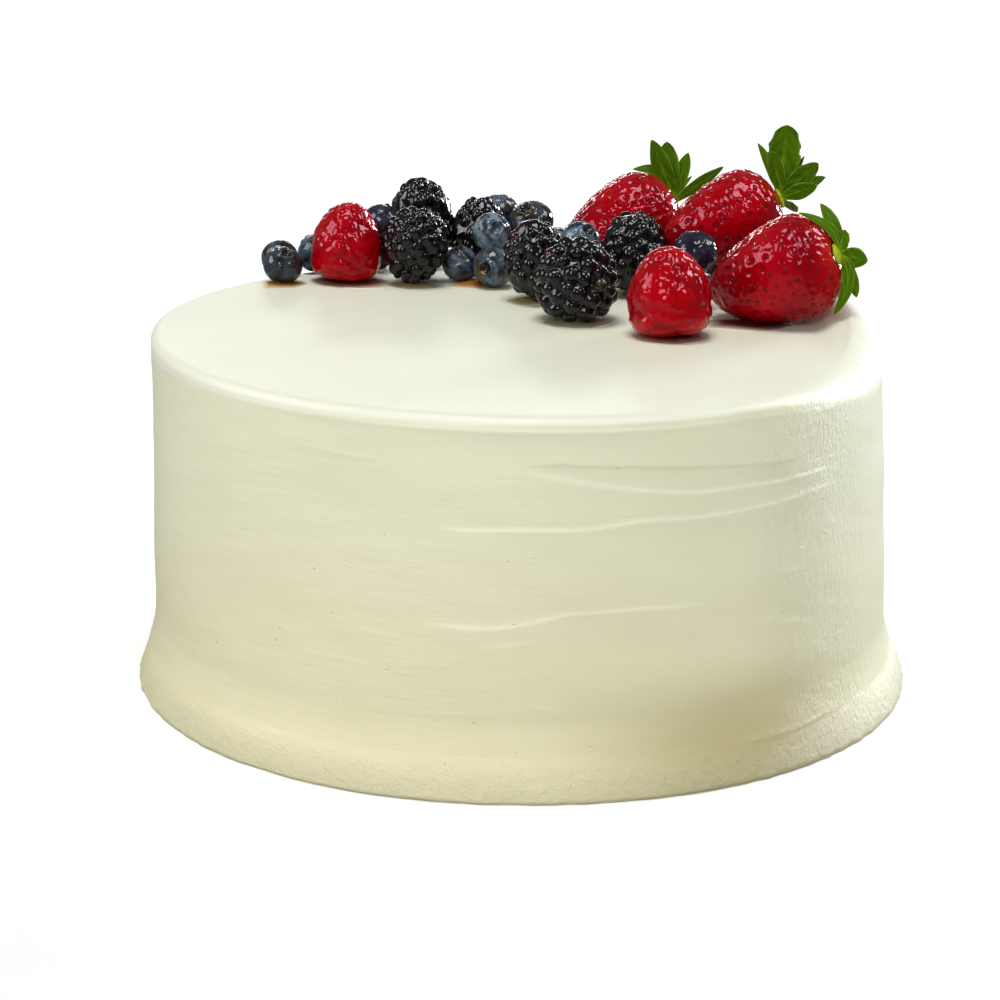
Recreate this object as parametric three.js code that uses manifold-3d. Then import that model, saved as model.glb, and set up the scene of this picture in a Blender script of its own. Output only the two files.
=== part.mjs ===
// A whole round chantilly cake: smooth whipped-cream icing over one solid body, with a crescent
// of glazed berries along the back right of its top. Millimetres, +Z up. The origin is the
// middle of the underside, and the side seen from -Y is the front.

import * as THREE from "three";
import { mergeVertices } from "three/addons/utils/BufferGeometryUtils.js";
import Module from "manifold-3d";

// ---------------------------------------------------------------- driving dimensions

const CAKE_HEIGHT = 97.5; // underside to the middle of the top
const TOP_RADIUS = 100; // side just under the rim
const TAPER = 3.4; // how much wider the side is above its foot
const FOOT_SPREAD = 5.5; // how far the cream is pushed out at the very foot
const FOOT_HEIGHT = 20; // where that spread begins
const FOOT_SHIFT = 2.2; // the foot's middle lies this far to +X of the top's middle
const FOOT_ROUND = 1.6; // rounding under the foot's edge
const TOP_SLOPE = [-0.012, 0.02]; // rise of the top per mm of X and of Y
const RIM_ROUND = 2.6; // rounding of the rim where the knife left it sharp
const SWELL_HEIGHT = 5.6; // how much higher the cream was left at the rim, round to the right
const SWELL_WIDTH = 15; // how far in from the rim that swelling reaches
const SWELL_ANGLE = 18; // its middle, degrees from +X
const SWELL_SPREAD = 48; // and how far it reaches to each side
const SLUMP_ROUND = 7; // extra rounding of the rim where it slumped beside the swelling
const SLUMP_ANGLE = -12; // the slump's middle, degrees from +X
const SLUMP_SPREAD = 45;
const RIDGE_HEIGHT = 0.55; // bead that the knife left on the side under the rim
const RIDGE_DROP = 3.4; // how far under the rim the bead runs
const RIDGE_WIDTH = 0.8;
const RIDGE_ANGLE = -86; // middle of the bead, degrees from +X
const RIDGE_SPREAD = 62;
const OVAL = [0.6, 0.3]; // how far the plan is stretched along X, and swollen towards +X
const UNEVENNESS = 0.25; // height of the hand's slow waves round the side
const CAKE_SIDES = 54; // facets round the cake
const SIDE_HEIGHTS = [5, 10, 15, FOOT_HEIGHT, 36, 58, 80]; // of the rings of facets
const RIM_TURNS = [25, 50, 75]; // degrees from the side at which the rim's round is split
const TOP_SHARES = [1, 0.955, 0.9, 0.84, 0.56, 0.28]; // rings of facets on the top

const REST_GAP = 0.3; // clearance between pieces that touch
const LEAF_THICKNESS = 0.8;
const LEAF_LIFT = 2; // how far a leaf first stands out from the fruit's stem end
const LEAF_GAP = 0.9; // least distance of a leaf's cross-sections from the fruit
const LEAF_PUSH = 0.2; // step by which a leaf is moved off the fruit
const LEAF_STEPS = 4;
const LEAF_STALK = 1.3; // width of a leaf where it leaves the cap
const LEAF_TIP = 0.5; // width of its blunted tip
const LEAF_DISH = 0.12; // how far the rib lies under the edges, as a share of the half width
const LEAF_WAVE = 0.06; // how far the edges wave to and fro, as a share of the width
const STEM_DIMPLE = 1.6; // depth of the hollow that a strawberry's calyx sits in
const DIMPLE_RADIUS = 5;
const CAP_RADIUS = 3.1; // the green button in the middle of each calyx
const CAP_THICKNESS = 1.8;

const COLOURS = {
  cream: 0xdedcc0,
  blueberry: 0x27304a,
  bramble: 0x17131b,
  raspberry: 0xa80f17,
  strawberry: 0xb00f1c,
  leaf: 0x4d7a25,
};
const GLAZED = 0.18; // roughness of a fruit under its glaze
const CREAMY = 0.62;
const LEAFY = 0.45;

// Berries in the order in which they are laid, so that each comes to rest on those before it:
// kind, middle x and y, widest radius, length, heading of the tip in degrees from +X, and the
// tip's rise above the level. A blueberry's tip is its crown, a strawberry's is its point.
const BERRIES = [
  ["blueberry", -69.6, 56, 5.9, 10.6, -60, 55],
  ["blueberry", -71.6, 68, 5.6, 10, 100, 20],
  ["blueberry", -60.8, 75.3, 6.2, 11, 140, 40],
  ["blueberry", -16.4, 65, 5.8, 10.4, -100, 70],
  ["blueberry", -6.5, 56, 6.2, 11.2, -115, 5],
  ["blueberry", -42.5, 78.8, 5.2, 9.4, 90, 10],
  ["blueberry", -2, 89.5, 4.8, 8.6, 70, 30],
  ["blueberry", 8, 70.5, 5.5, 10, 60, 70],
  ["blueberry", 3, 81, 5.2, 9.4, 120, 15],
  ["blueberry", 13.5, 87, 6.8, 12.2, 80, 35],
  ["blueberry", 18.2, 54, 5.4, 9.8, 200, 60],
  ["blueberry", 50, 31.5, 5.2, 9.6, 10, 60],
  ["blueberry", 68, 45.2, 6.4, 11.2, 20, 30],
  ["blueberry", 61.5, 75, 6.4, 11.6, 70, 20],
  ["blueberry", 83, 36, 6, 10.8, 40, 25],
  ["raspberry", -50.7, 61.4, 10.7, 23.4, 20, 84],
  ["raspberry", 41.7, -7, 11.7, 24.2, 150, 84],
  ["bramble", -30.1, 58, 10.1, 23.2, 200, -80],
  ["bramble", 17.3, 9.8, 12.4, 24, 250, 76],
  ["bramble", 6.2, 35.8, 9.9, 23.8, 215, 74],
  ["bramble", 35.8, 47, 10.1, 25.4, 200, 82],
  ["bramble", -10.8, 78.8, 8.9, 24, 30, 86],
  ["bramble", -28.8, 88, 10.5, 28, 165, 84],
  ["strawberry", 32, 77, 14.9, 40, 207, -22],
  ["strawberry", 72.8, 12.8, 14.8, 39, 158, -22],
  ["strawberry", 61.3, 56, 13.2, 37.6, 185, -23],
  ["blueberry", -53.2, 79, 5.6, 10.2, 150, 35],
  ["blueberry", -40.8, 76, 5.8, 10.4, 30, 50],
  ["blueberry", -7, 64, 6, 10.8, -70, 25],
  ["blueberry", -5, 92, 6.3, 11.2, 100, 40],
  ["blueberry", 5, 77, 7, 12.4, -120, 50],
  ["blueberry", 19.4, 50.5, 6.2, 11.2, -60, 45],
  ["blueberry", 51.5, 29, 6.9, 12.6, 170, 50],
];

// Leaves of each strawberry's calyx: the offset of the tip from the cap (x, y, z), the full
// width, and how far the leaf is turned about its own length from facing the front, in degrees.
const CALYX_LEAVES = [
  [
    [-6.6, -1, 19.8, 5.6, 15],
    [-1.7, 2, 18.9, 6.4, -10],
    [-12.6, -3, 10.8, 4.6, 30],
    [5.2, 3, 15.4, 4.2, -20],
    [16.1, 2, 11.3, 3.4, 20],
    [7, 11, 7, 5, 60],
    [-2, 13, 5, 5, 80],
  ],
  [
    [-10.9, 2, 11, 2.6, 20],
    [-4.5, 6, 13, 3.4, 10],
    [2, 1, 6.5, 3.8, -20],
    [8.4, -1, -2, 5.4, 10],
    [5.6, -2, -12, 3.4, 10],
    [-0.6, -2, -14.6, 3, 20],
    [4, 11, 3, 5, 60],
  ],
  [
    [-6.5, 4, 15.7, 2.4, 10],
    [1.6, 0, 21.6, 10.4, 0],
    [-2.9, -3, 14.2, 4.4, 0],
    [7.4, 3, 12.1, 1.8, 20],
    [11.2, 0, 10.4, 6, 10],
    [14.2, 5, 5.6, 5, 30],
    [10.8, -3, 4.1, 4.4, 10],
    [5.6, 9, -5.3, 6, 60],
  ],
];

// ---------------------------------------------------------------- shared helpers

const wasm = await Module();
wasm.setup();

const degrees = THREE.MathUtils.degToRad;

/** A smooth hump: 1 at the middle, 0 at and beyond the spread on each side. */
function hump(distance, spread) {
  const share = Math.min(1, Math.abs(distance) / spread);
  return 0.5 + 0.5 * Math.cos(Math.PI * share);
}

/** The signed angle from b to a in degrees, between -180 and 180. */
function angleBetween(a, b) {
  return ((((a - b + 180) % 360) + 360) % 360) - 180;
}

/** A closed geometry from points and triangles. */
function closedGeometry(points, triangles) {
  const geometry = new THREE.BufferGeometry();
  geometry.setAttribute("position", new THREE.Float32BufferAttribute(points.flat(), 3));
  geometry.setIndex(triangles.flat());
  geometry.computeVertexNormals();
  return geometry;
}

/** A skin over rings of equal length, closed by a point before the first and after the last. */
function skinOverRings(first, rings, last) {
  const sides = rings[0].length;
  const points = [first, ...rings.flat(), last];
  const triangles = [];
  const at = (ring, side) => 1 + ring * sides + (side % sides);
  for (let side = 0; side < sides; side++) {
    triangles.push([0, at(0, side + 1), at(0, side)]);
    triangles.push([points.length - 1, at(rings.length - 1, side), at(rings.length - 1, side + 1)]);
  }
  for (let ring = 0; ring + 1 < rings.length; ring++) {
    for (let side = 0; side < sides; side++) {
      const [a, b] = [at(ring, side), at(ring, side + 1)];
      const [c, d] = [at(ring + 1, side + 1), at(ring + 1, side)];
      triangles.push([a, b, c], [a, c, d]);
    }
  }
  return closedGeometry(points, triangles);
}

function makeMaterial(colour, roughness) {
  return new THREE.MeshStandardMaterial({ color: colour, roughness, metalness: 0 });
}

// ---------------------------------------------------------------- the iced cake

/** How much of the swelling there is at an angle round the cake, from 0 to 1. */
function swellShare(angle) {
  return hump(angleBetween(angle, SWELL_ANGLE), SWELL_SPREAD);
}

/** Height of the cake's top at a place on it: a slight slope, and the swelling at the rim. */
function topHeight(x, y) {
  const inFromRim = Math.max(0, TOP_RADIUS - RIM_ROUND - Math.hypot(x, y));
  const angle = THREE.MathUtils.radToDeg(Math.atan2(y, x));
  const swell = SWELL_HEIGHT * swellShare(angle) * hump(inFromRim, SWELL_WIDTH);
  return CAKE_HEIGHT + TOP_SLOPE[0] * x + TOP_SLOPE[1] * y + swell;
}

/** Radius of the side at a height: straight taper, spread foot and a slightly uneven hand. */
function sideRadius(z, angle) {
  const low = Math.max(0, 1 - z / CAKE_HEIGHT);
  const foot = Math.max(0, 1 - z / FOOT_HEIGHT);
  const around = degrees(angle);
  const oval = OVAL[0] * Math.cos(2 * around) + OVAL[1] * Math.cos(around);
  const uneven = oval + UNEVENNESS * Math.sin(5 * around + 6 * low);
  return TOP_RADIUS + TAPER * low ** 1.2 + FOOT_SPREAD * foot ** 1.5 + uneven;
}

/** A point of the skin, from the angle round the cake, the radius and the height. */
function cakePoint(angle, radius, z) {
  const shift = FOOT_SHIFT * (1 - z / CAKE_HEIGHT);
  const around = degrees(angle);
  return [shift + radius * Math.cos(around), radius * Math.sin(around), z];
}

/** The profile of the cake at one angle, from the edge of its underside to the top's middle. */
function cakeProfile(angle) {
  const around = degrees(angle);
  const rimTop = topHeight(TOP_RADIUS * Math.cos(around), TOP_RADIUS * Math.sin(around));
  const round = RIM_ROUND + SLUMP_ROUND * hump(angleBetween(angle, SLUMP_ANGLE), SLUMP_SPREAD);
  const bead = RIDGE_HEIGHT * hump(angleBetween(angle, RIDGE_ANGLE), RIDGE_SPREAD);
  const profile = [[sideRadius(0, angle) - FOOT_ROUND, 0]];
  for (const z of [FOOT_ROUND * 0.3, FOOT_ROUND, ...SIDE_HEIGHTS]) {
    const under = Math.max(0, 1 - z / FOOT_ROUND);
    profile.push([sideRadius(z, angle) - FOOT_ROUND * 0.35 * under, z]);
  }
  // the knife's bead stands on the side a little under the rim, above the highest rounding
  const beadAt = rimTop - Math.max(RIDGE_DROP, round + RIDGE_WIDTH);
  for (const [step, share] of [[-1, 0], [0, 1], [1, 0.2]]) {
    const z = beadAt + step * RIDGE_WIDTH;
    profile.push([sideRadius(z, angle) + bead * share, z]);
  }
  const rimSide = sideRadius(rimTop - round, angle);
  for (const turn of RIM_TURNS) {
    const out = rimSide - round + round * Math.cos(degrees(turn));
    profile.push([out, rimTop - round + round * Math.sin(degrees(turn))]);
  }
  for (const share of TOP_SHARES) {
    const radius = (rimSide - round) * share;
    profile.push([radius, topHeight(radius * Math.cos(around), radius * Math.sin(around))]);
  }
  return profile;
}

function makeCake() {
  const profiles = Array.from({ length: CAKE_SIDES }, (_, side) => {
    const angle = (360 * side) / CAKE_SIDES;
    return cakeProfile(angle).map(([radius, z]) => cakePoint(angle, radius, z));
  });
  const rings = profiles[0].map((_, ring) => profiles.map((profile) => profile[ring]));
  const geometry = skinOverRings([FOOT_SHIFT, 0, 0], rings, [0, 0, CAKE_HEIGHT]);
  const mesh = new THREE.Mesh(geometry, makeMaterial(COLOURS.cream, CREAMY));
  mesh.name = "cake";
  return mesh;
}

// ---------------------------------------------------------------- the berries' shapes

// Share of the widest radius at a share x of the length, from the stem end, 0, to the tip, 1.
const PROFILES = {
  blueberry: (x) => (4 * x * (1 - x)) ** 0.5,
  bramble: (x) => Math.min(1, 1.06 * (4 * x * (1 - x)) ** 0.42 * (1.04 - 0.2 * x)),
  raspberry: (x) =>
    Math.min(1, 1.1 * (4 * x * (1 - x)) ** (x < 0.5 ? 0.24 : 0.42) * (1.08 - 0.38 * x)),
  strawberry: (x) =>
    x < 0.3 ? (1 - (1 - x / 0.3) ** 2) ** 0.5 : (1 - ((x - 0.3) / 0.7) ** 1.8) ** 0.56,
};
const DRUPELETS = { bramble: 46, raspberry: 60 }; // on one fruit
const DRUPELET_DEPTH = { bramble: 0.26, raspberry: 0.12 }; // of the groove, share of the radius
const DOME_REACH = 1.12; // radius of a drupelet over that of its share of the sphere
const BALL_DETAIL = 4; // how often each triangle of a fruit of drupelets is split along an edge
const CROWN_DENT = 0.12; // depth of a blueberry's crown, share of its length
const GRIDS = { strawberry: [11, 20], blueberry: [7, 10] }; // rings and sides of facets

/** Middles of the drupelets as directions on a sphere, wound evenly from pole to pole. */
function drupeletDirections(count) {
  const turn = Math.PI * (3 - Math.sqrt(5));
  return Array.from({ length: count }, (_, i) => {
    const z = 1 - (2 * i + 1) / count;
    const flat = Math.sqrt(1 - z * z);
    return new THREE.Vector3(flat * Math.cos(i * turn), flat * Math.sin(i * turn), z);
  });
}

/** A point of a fruit's smooth hull for a direction, in its own frame with the tip at +Z. */
function hullPoint(kind, radius, length, direction) {
  const share = 0.5 + 0.5 * direction.z;
  const across = Math.hypot(direction.x, direction.y) || 1;
  const out = radius * PROFILES[kind](Math.min(1, Math.max(0, share)));
  const z = length * (share - 0.5);
  return new THREE.Vector3((out * direction.x) / across, (out * direction.y) / across, z);
}

/** Directions on a grid of rings and sides, without the two poles. */
function ringDirections(rings, sides) {
  return Array.from({ length: rings }, (_, ring) => {
    const polar = (Math.PI * (rings - ring)) / (rings + 1);
    return Array.from({ length: sides }, (_, side) => {
      const around = (2 * Math.PI * side) / sides;
      return new THREE.Vector3(
        Math.sin(polar) * Math.cos(around),
        Math.sin(polar) * Math.sin(around),
        Math.cos(polar),
      );
    });
  });
}

/** A smooth fruit: the hull on a grid of rings, with the crown of a blueberry pressed in. */
function smoothFruit(kind, radius, length) {
  const crownDent = kind === "blueberry" ? CROWN_DENT * length : 0;
  const stemDent = kind === "strawberry" ? STEM_DIMPLE : 0;
  const rings = ringDirections(...GRIDS[kind]).map((ring) =>
    ring.map((direction) => {
      const [x, y, z] = hullPoint(kind, radius, length, direction).toArray();
      const dent = z < 0 ? stemDent * hump(Math.hypot(x, y), DIMPLE_RADIUS) : 0;
      return [x, y, z + dent];
    }),
  );
  return skinOverRings([0, 0, stemDent - length / 2], rings, [0, 0, length / 2 - crownDent]);
}

/** A fruit of drupelets: the hull, sunk along the grooves between neighbouring drupelets. */
function drupeletFruit(kind, radius, length) {
  const middles = drupeletDirections(DRUPELETS[kind]);
  const reach = Math.sqrt(4 / DRUPELETS[kind]) * DOME_REACH;
  const geometry = new THREE.IcosahedronGeometry(1, BALL_DETAIL);
  geometry.deleteAttribute("normal");
  geometry.deleteAttribute("uv");
  const ball = mergeVertices(geometry, 1e-4);
  const position = ball.getAttribute("position");
  for (let i = 0; i < position.count; i++) {
    const direction = new THREE.Vector3().fromBufferAttribute(position, i).normalize();
    const nearest = Math.min(...middles.map((middle) => middle.angleTo(direction)));
    const dome = Math.sqrt(Math.max(0, 1 - (nearest / reach) ** 2));
    const point = hullPoint(kind, radius, length, direction);
    point.multiplyScalar(1 - DRUPELET_DEPTH[kind] * (1 - dome));
    position.setXYZ(i, ...point.toArray());
  }
  ball.computeVertexNormals();
  return ball;
}

// ---------------------------------------------------------------- laying the berries

const DROP_HEIGHT = CAKE_HEIGHT + 60; // where each berry starts on its way down
const DROP_STEP = 0.1;
const POLES = [new THREE.Vector3(0, 0, -1), new THREE.Vector3(0, 0, 1)];
const HULL_DIRECTIONS = [...POLES, ...ringDirections(15, 24).flat()];

/** Turns a fruit's own frame so that its tip has the given heading and rise. */
function tipRotation(heading, rise) {
  const level = Math.cos(degrees(rise));
  const tip = new THREE.Vector3(
    level * Math.cos(degrees(heading)),
    level * Math.sin(degrees(heading)),
    Math.sin(degrees(rise)),
  );
  return new THREE.Quaternion().setFromUnitVectors(new THREE.Vector3(0, 0, 1), tip);
}

/** Whether a point lies in a fruit's hull, or nearer to it than the gap. */
function isInside(berry, point, gap = REST_GAP) {
  const offset = point.clone().sub(berry.middle);
  const along = offset.dot(berry.tip);
  const share = 0.5 + along / berry.length;
  const slack = gap / berry.length;
  if (share < -slack || share > 1 + slack) return false;
  const out = Math.sqrt(Math.max(0, offset.lengthSq() - along * along));
  return out < berry.radius * PROFILES[berry.kind](Math.min(1, Math.max(0, share))) + gap;
}

/** Whether a berry is clear of the cake's top and of all berries laid before it. */
function isClear(berry, laid) {
  const hull = berry.hull.map((point) => point.clone().add(berry.middle));
  if (hull.some((point) => point.z < topHeight(point.x, point.y) + REST_GAP)) return false;
  const near = laid.filter((other) => {
    const reach = (berry.length + other.length) / 2 + berry.radius + other.radius;
    return berry.middle.distanceTo(other.middle) < reach;
  });
  return near.every((other) => {
    if (hull.some((point) => isInside(other, point))) return false;
    return !other.hull.some((point) => isInside(berry, point.clone().add(other.middle)));
  });
}

/** Lowers each berry onto the cake and the berries before it, and returns them all. */
function layBerries() {
  const laid = [];
  const counts = {};
  for (const [kind, x, y, radius, length, heading, rise] of BERRIES) {
    counts[kind] = (counts[kind] ?? 0) + 1;
    const turn = tipRotation(heading, rise);
    const berry = { kind, radius, length, turn, name: `${kind}_${counts[kind]}` };
    berry.tip = new THREE.Vector3(0, 0, 1).applyQuaternion(turn);
    berry.hull = HULL_DIRECTIONS.map((direction) =>
      hullPoint(kind, radius, length, direction).applyQuaternion(turn),
    );
    berry.middle = new THREE.Vector3(x, y, DROP_HEIGHT);
    while (isClear(berry, laid)) berry.middle.z -= DROP_STEP;
    berry.middle.z += DROP_STEP;
    laid.push(berry);
  }
  return laid;
}

function makeBerry(berry) {
  const make = berry.kind in DRUPELETS ? drupeletFruit : smoothFruit;
  const geometry = make(berry.kind, berry.radius, berry.length);
  const mesh = new THREE.Mesh(geometry, makeMaterial(COLOURS[berry.kind], GLAZED));
  mesh.name = berry.name;
  mesh.position.copy(berry.middle);
  mesh.quaternion.copy(berry.turn);
  return mesh;
}

// ---------------------------------------------------------------- the strawberries' calyces

/** A closed geometry as a solid that can be joined to another. */
function asSolid(geometry) {
  const bare = geometry.clone();
  bare.deleteAttribute("normal");
  const merged = mergeVertices(bare, 1e-4);
  return new wasm.Manifold(
    new wasm.Mesh({
      numProp: 3,
      vertProperties: new Float32Array(merged.getAttribute("position").array),
      triVerts: new Uint32Array(merged.index.array),
    }),
  );
}

/** Share of a leaf's full width at a share of its length: widest beyond the middle. */
function leafBelly(share) {
  return (share ** 0.9 * (1 - share) ** 0.55) / 0.382;
}

/** How far outwards a cross-section of a leaf has to be moved to be clear of the fruit. */
function pushOffFruit(corners, middle, outwards, berry) {
  let push = 0;
  const moved = (corner) => corner.clone().addScaledVector(outwards, push).add(middle);
  while (corners.some((corner) => isInside(berry, moved(corner), LEAF_GAP))) push += LEAF_PUSH;
  return push;
}

/**
 * A leaf from the cap's middle to its tip: a thin plate along a curve that leaves the fruit
 * outwards before it bends to the tip, dished across and wavy at its edges, with a top and an
 * underside that are split into triangles alike.
 */
function makeLeaf([tipX, tipY, tipZ, width, turn], middleOfCap, outwards, berry) {
  const tip = new THREE.Vector3(tipX, tipY, tipZ);
  const rise = tip.dot(outwards);
  const lift = rise > 0 ? Math.max(LEAF_LIFT, 0.5 * rise) : LEAF_LIFT - 0.4 * rise;
  const bend = tip.clone().projectOnPlane(outwards).multiplyScalar(0.5);
  bend.addScaledVector(outwards, lift);
  const spine = new THREE.QuadraticBezierCurve3(new THREE.Vector3(), bend, tip);
  const rings = [];
  for (let step = 0; step <= LEAF_STEPS; step++) {
    const share = step / LEAF_STEPS;
    const middle = spine.getPoint(share);
    const along = spine.getTangent(share);
    const across = new THREE.Vector3().crossVectors(along, new THREE.Vector3(0, -1, 0));
    across.normalize().applyAxisAngle(along, degrees(turn));
    const face = new THREE.Vector3().crossVectors(across, along).normalize();
    const belly = (width / 2) * leafBelly(share) + (LEAF_STALK / 2) * (1 - share);
    const half = Math.max(belly, LEAF_TIP / 2);
    const wave = LEAF_WAVE * width * Math.sin(3 * Math.PI * share);
    const rib = -LEAF_DISH * half;
    const thick = LEAF_THICKNESS / 2;
    const point = (side, height) =>
      middle.clone().addScaledVector(across, side).addScaledVector(face, height);
    const corners = [
      point(-half, wave + thick * 0.5),
      point(0, rib + thick),
      point(half, -wave + thick * 0.5),
      point(half, -wave - thick * 0.5),
      point(0, rib - thick),
      point(-half, wave - thick * 0.5),
    ];
    // the root stays in the cap, which sits in the fruit's dimple
    const push = step === 0 ? 0 : pushOffFruit(corners, middleOfCap, outwards, berry);
    rings.push(corners.map((corner) => corner.addScaledVector(outwards, push).toArray()));
  }
  const triangles = [];
  const at = (ring, corner) => ring * 6 + corner;
  for (let ring = 0; ring < LEAF_STEPS; ring++) {
    for (const [a, b] of [[0, 1], [1, 2], [2, 3], [5, 0]]) {
      triangles.push([at(ring, a), at(ring, b), at(ring + 1, b)]);
      triangles.push([at(ring, a), at(ring + 1, b), at(ring + 1, a)]);
    }
    for (const [a, b] of [[5, 4], [4, 3]]) {
      triangles.push([at(ring, a), at(ring + 1, b), at(ring, b)]);
      triangles.push([at(ring, a), at(ring + 1, a), at(ring + 1, b)]);
    }
  }
  for (const [a, b, c] of [[0, 5, 4], [0, 4, 1], [1, 4, 3], [1, 3, 2]]) {
    triangles.push([at(0, a), at(0, b), at(0, c)]);
    triangles.push([at(LEAF_STEPS, a), at(LEAF_STEPS, c), at(LEAF_STEPS, b)]);
  }
  return closedGeometry(rings.flat(), triangles);
}

/** The calyx of a strawberry: the leaves joined round a small domed cap on its stem end. */
function makeCalyx(berry, number, leaves) {
  const capLift = CAP_THICKNESS / 2 + 2 * REST_GAP - STEM_DIMPLE;
  const middle = berry.middle.clone().addScaledVector(berry.tip, -(berry.length / 2 + capLift));
  const outwards = berry.tip.clone().negate();
  const cap = new THREE.SphereGeometry(CAP_RADIUS, 8, 6);
  cap.deleteAttribute("uv");
  cap.rotateX(Math.PI / 2);
  cap.scale(1, 1, CAP_THICKNESS / 2 / CAP_RADIUS);
  cap.applyQuaternion(berry.turn);
  let solid = asSolid(cap);
  for (const leaf of leaves) {
    solid = solid.add(asSolid(makeLeaf(leaf, middle, outwards, berry)));
  }
  // where a leaf still bites into the fruit's shoulder, it is cut back to the resting gap
  const swollen = smoothFruit(berry.kind, berry.radius + REST_GAP, berry.length + 2 * REST_GAP);
  swollen.applyQuaternion(berry.turn);
  swollen.translate(...berry.middle.clone().sub(middle).toArray());
  solid = solid.subtract(asSolid(swollen));
  const joined = solid.getMesh();
  const geometry = new THREE.BufferGeometry();
  geometry.setAttribute("position", new THREE.Float32BufferAttribute(joined.vertProperties, 3));
  geometry.setIndex(new THREE.Uint32BufferAttribute(joined.triVerts, 1));
  geometry.computeVertexNormals();
  const mesh = new THREE.Mesh(geometry, makeMaterial(COLOURS.leaf, LEAFY));
  mesh.name = `calyx_${number}`;
  mesh.position.copy(middle);
  return mesh;
}

// ---------------------------------------------------------------- the whole cake

const group = new THREE.Group();
const berries = layBerries();
const strawberries = berries.filter((berry) => berry.kind === "strawberry");
const cake = makeCake();
group.add(cake);
group.add(...berries.map(makeBerry));
group.add(...strawberries.map((berry, i) => makeCalyx(berry, i + 1, CALYX_LEAVES[i])));

// the origin is the middle of the cake's footprint, not of its slightly offset top
const footprint = new THREE.Box3().setFromObject(cake).getCenter(new THREE.Vector3());
for (const piece of group.children) {
  piece.position.x -= footprint.x;
  piece.position.y -= footprint.y;
}

export default group;
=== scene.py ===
"""A whole chantilly cake: cream spread with a palette knife, and a crescent of glazed fruit.

Sizes are in millimetres until a mesh is made. The origin is the middle of the cake's footprint,
+Z is up, and the side seen from -Y is the front."""

import bpy
import numpy as np
from mathutils import Matrix, Vector


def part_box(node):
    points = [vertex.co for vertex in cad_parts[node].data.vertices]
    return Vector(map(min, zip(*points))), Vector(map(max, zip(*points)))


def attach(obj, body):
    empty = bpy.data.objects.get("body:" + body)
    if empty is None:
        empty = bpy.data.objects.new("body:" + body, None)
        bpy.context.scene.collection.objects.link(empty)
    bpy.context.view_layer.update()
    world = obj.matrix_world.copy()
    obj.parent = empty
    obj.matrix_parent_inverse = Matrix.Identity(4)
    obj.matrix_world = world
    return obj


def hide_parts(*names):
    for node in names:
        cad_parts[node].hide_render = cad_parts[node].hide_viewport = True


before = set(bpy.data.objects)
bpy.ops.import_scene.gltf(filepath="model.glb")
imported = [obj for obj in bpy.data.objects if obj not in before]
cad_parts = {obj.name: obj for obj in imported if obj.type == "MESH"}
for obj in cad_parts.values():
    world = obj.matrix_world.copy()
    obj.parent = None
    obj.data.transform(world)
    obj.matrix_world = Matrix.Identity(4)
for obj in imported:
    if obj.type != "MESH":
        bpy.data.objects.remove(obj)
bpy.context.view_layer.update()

# ---------------------------------------------------------------- the iced cake
# Sponge under one coat of whipped chantilly cream, spread with a long palette knife: a nearly
# level top, a rim that the knife left sharp but for a slump at the right, a bead under the rim,
# the ends of the knife's strokes on the side, and a foot where the cream was pushed outwards.

CAKE_HEIGHT = 97.5  # underside to the middle of the top
TOP_RADIUS = 100  # of the side just under the rim
TAPER = 3.4  # how much wider the side is above its foot
FOOT_SPREAD = 5.5  # how far the cream is pushed out at the very foot
FOOT_HEIGHT = 20  # where that spread begins
FOOT_SHIFT = 2.2  # the foot's middle lies this far to +X of the top's middle
FOOT_ROUND = 1.6  # rounding under the foot's edge
TOP_SLOPE = (-0.012, 0.02)  # rise of the top for each mm of X and of Y
RIM_ROUND = 2.6  # rounding of the rim where the knife left it sharp
SWELL_HEIGHT = 5.6  # how much higher the cream was left at the rim, round to the right
SWELL_WIDTH = 15  # how far in from the rim that swelling reaches
SWELL_ANGLE = 18  # its middle, in degrees from +X
SWELL_SPREAD = 48  # how far it reaches to each side
SLUMP_ROUND = 7  # extra rounding where the rim slumped beside the swelling
SLUMP_ANGLE = -12
SLUMP_SPREAD = 45
BEAD_HEIGHT = 0.4  # how far the bead under the rim stands out
BEAD_DROP = 3.4  # how far under the rim it runs
BEAD_WIDTH = 0.8
BEAD_ANGLE = -86
BEAD_SPREAD = 62
OVAL = (0.6, 0.3)  # how far the plan is stretched along X, and swollen towards +X
UNEVENNESS = 0.25  # height of the hand's slow waves round the side
RAGGEDNESS = 0.35  # of the foot's edge

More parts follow.
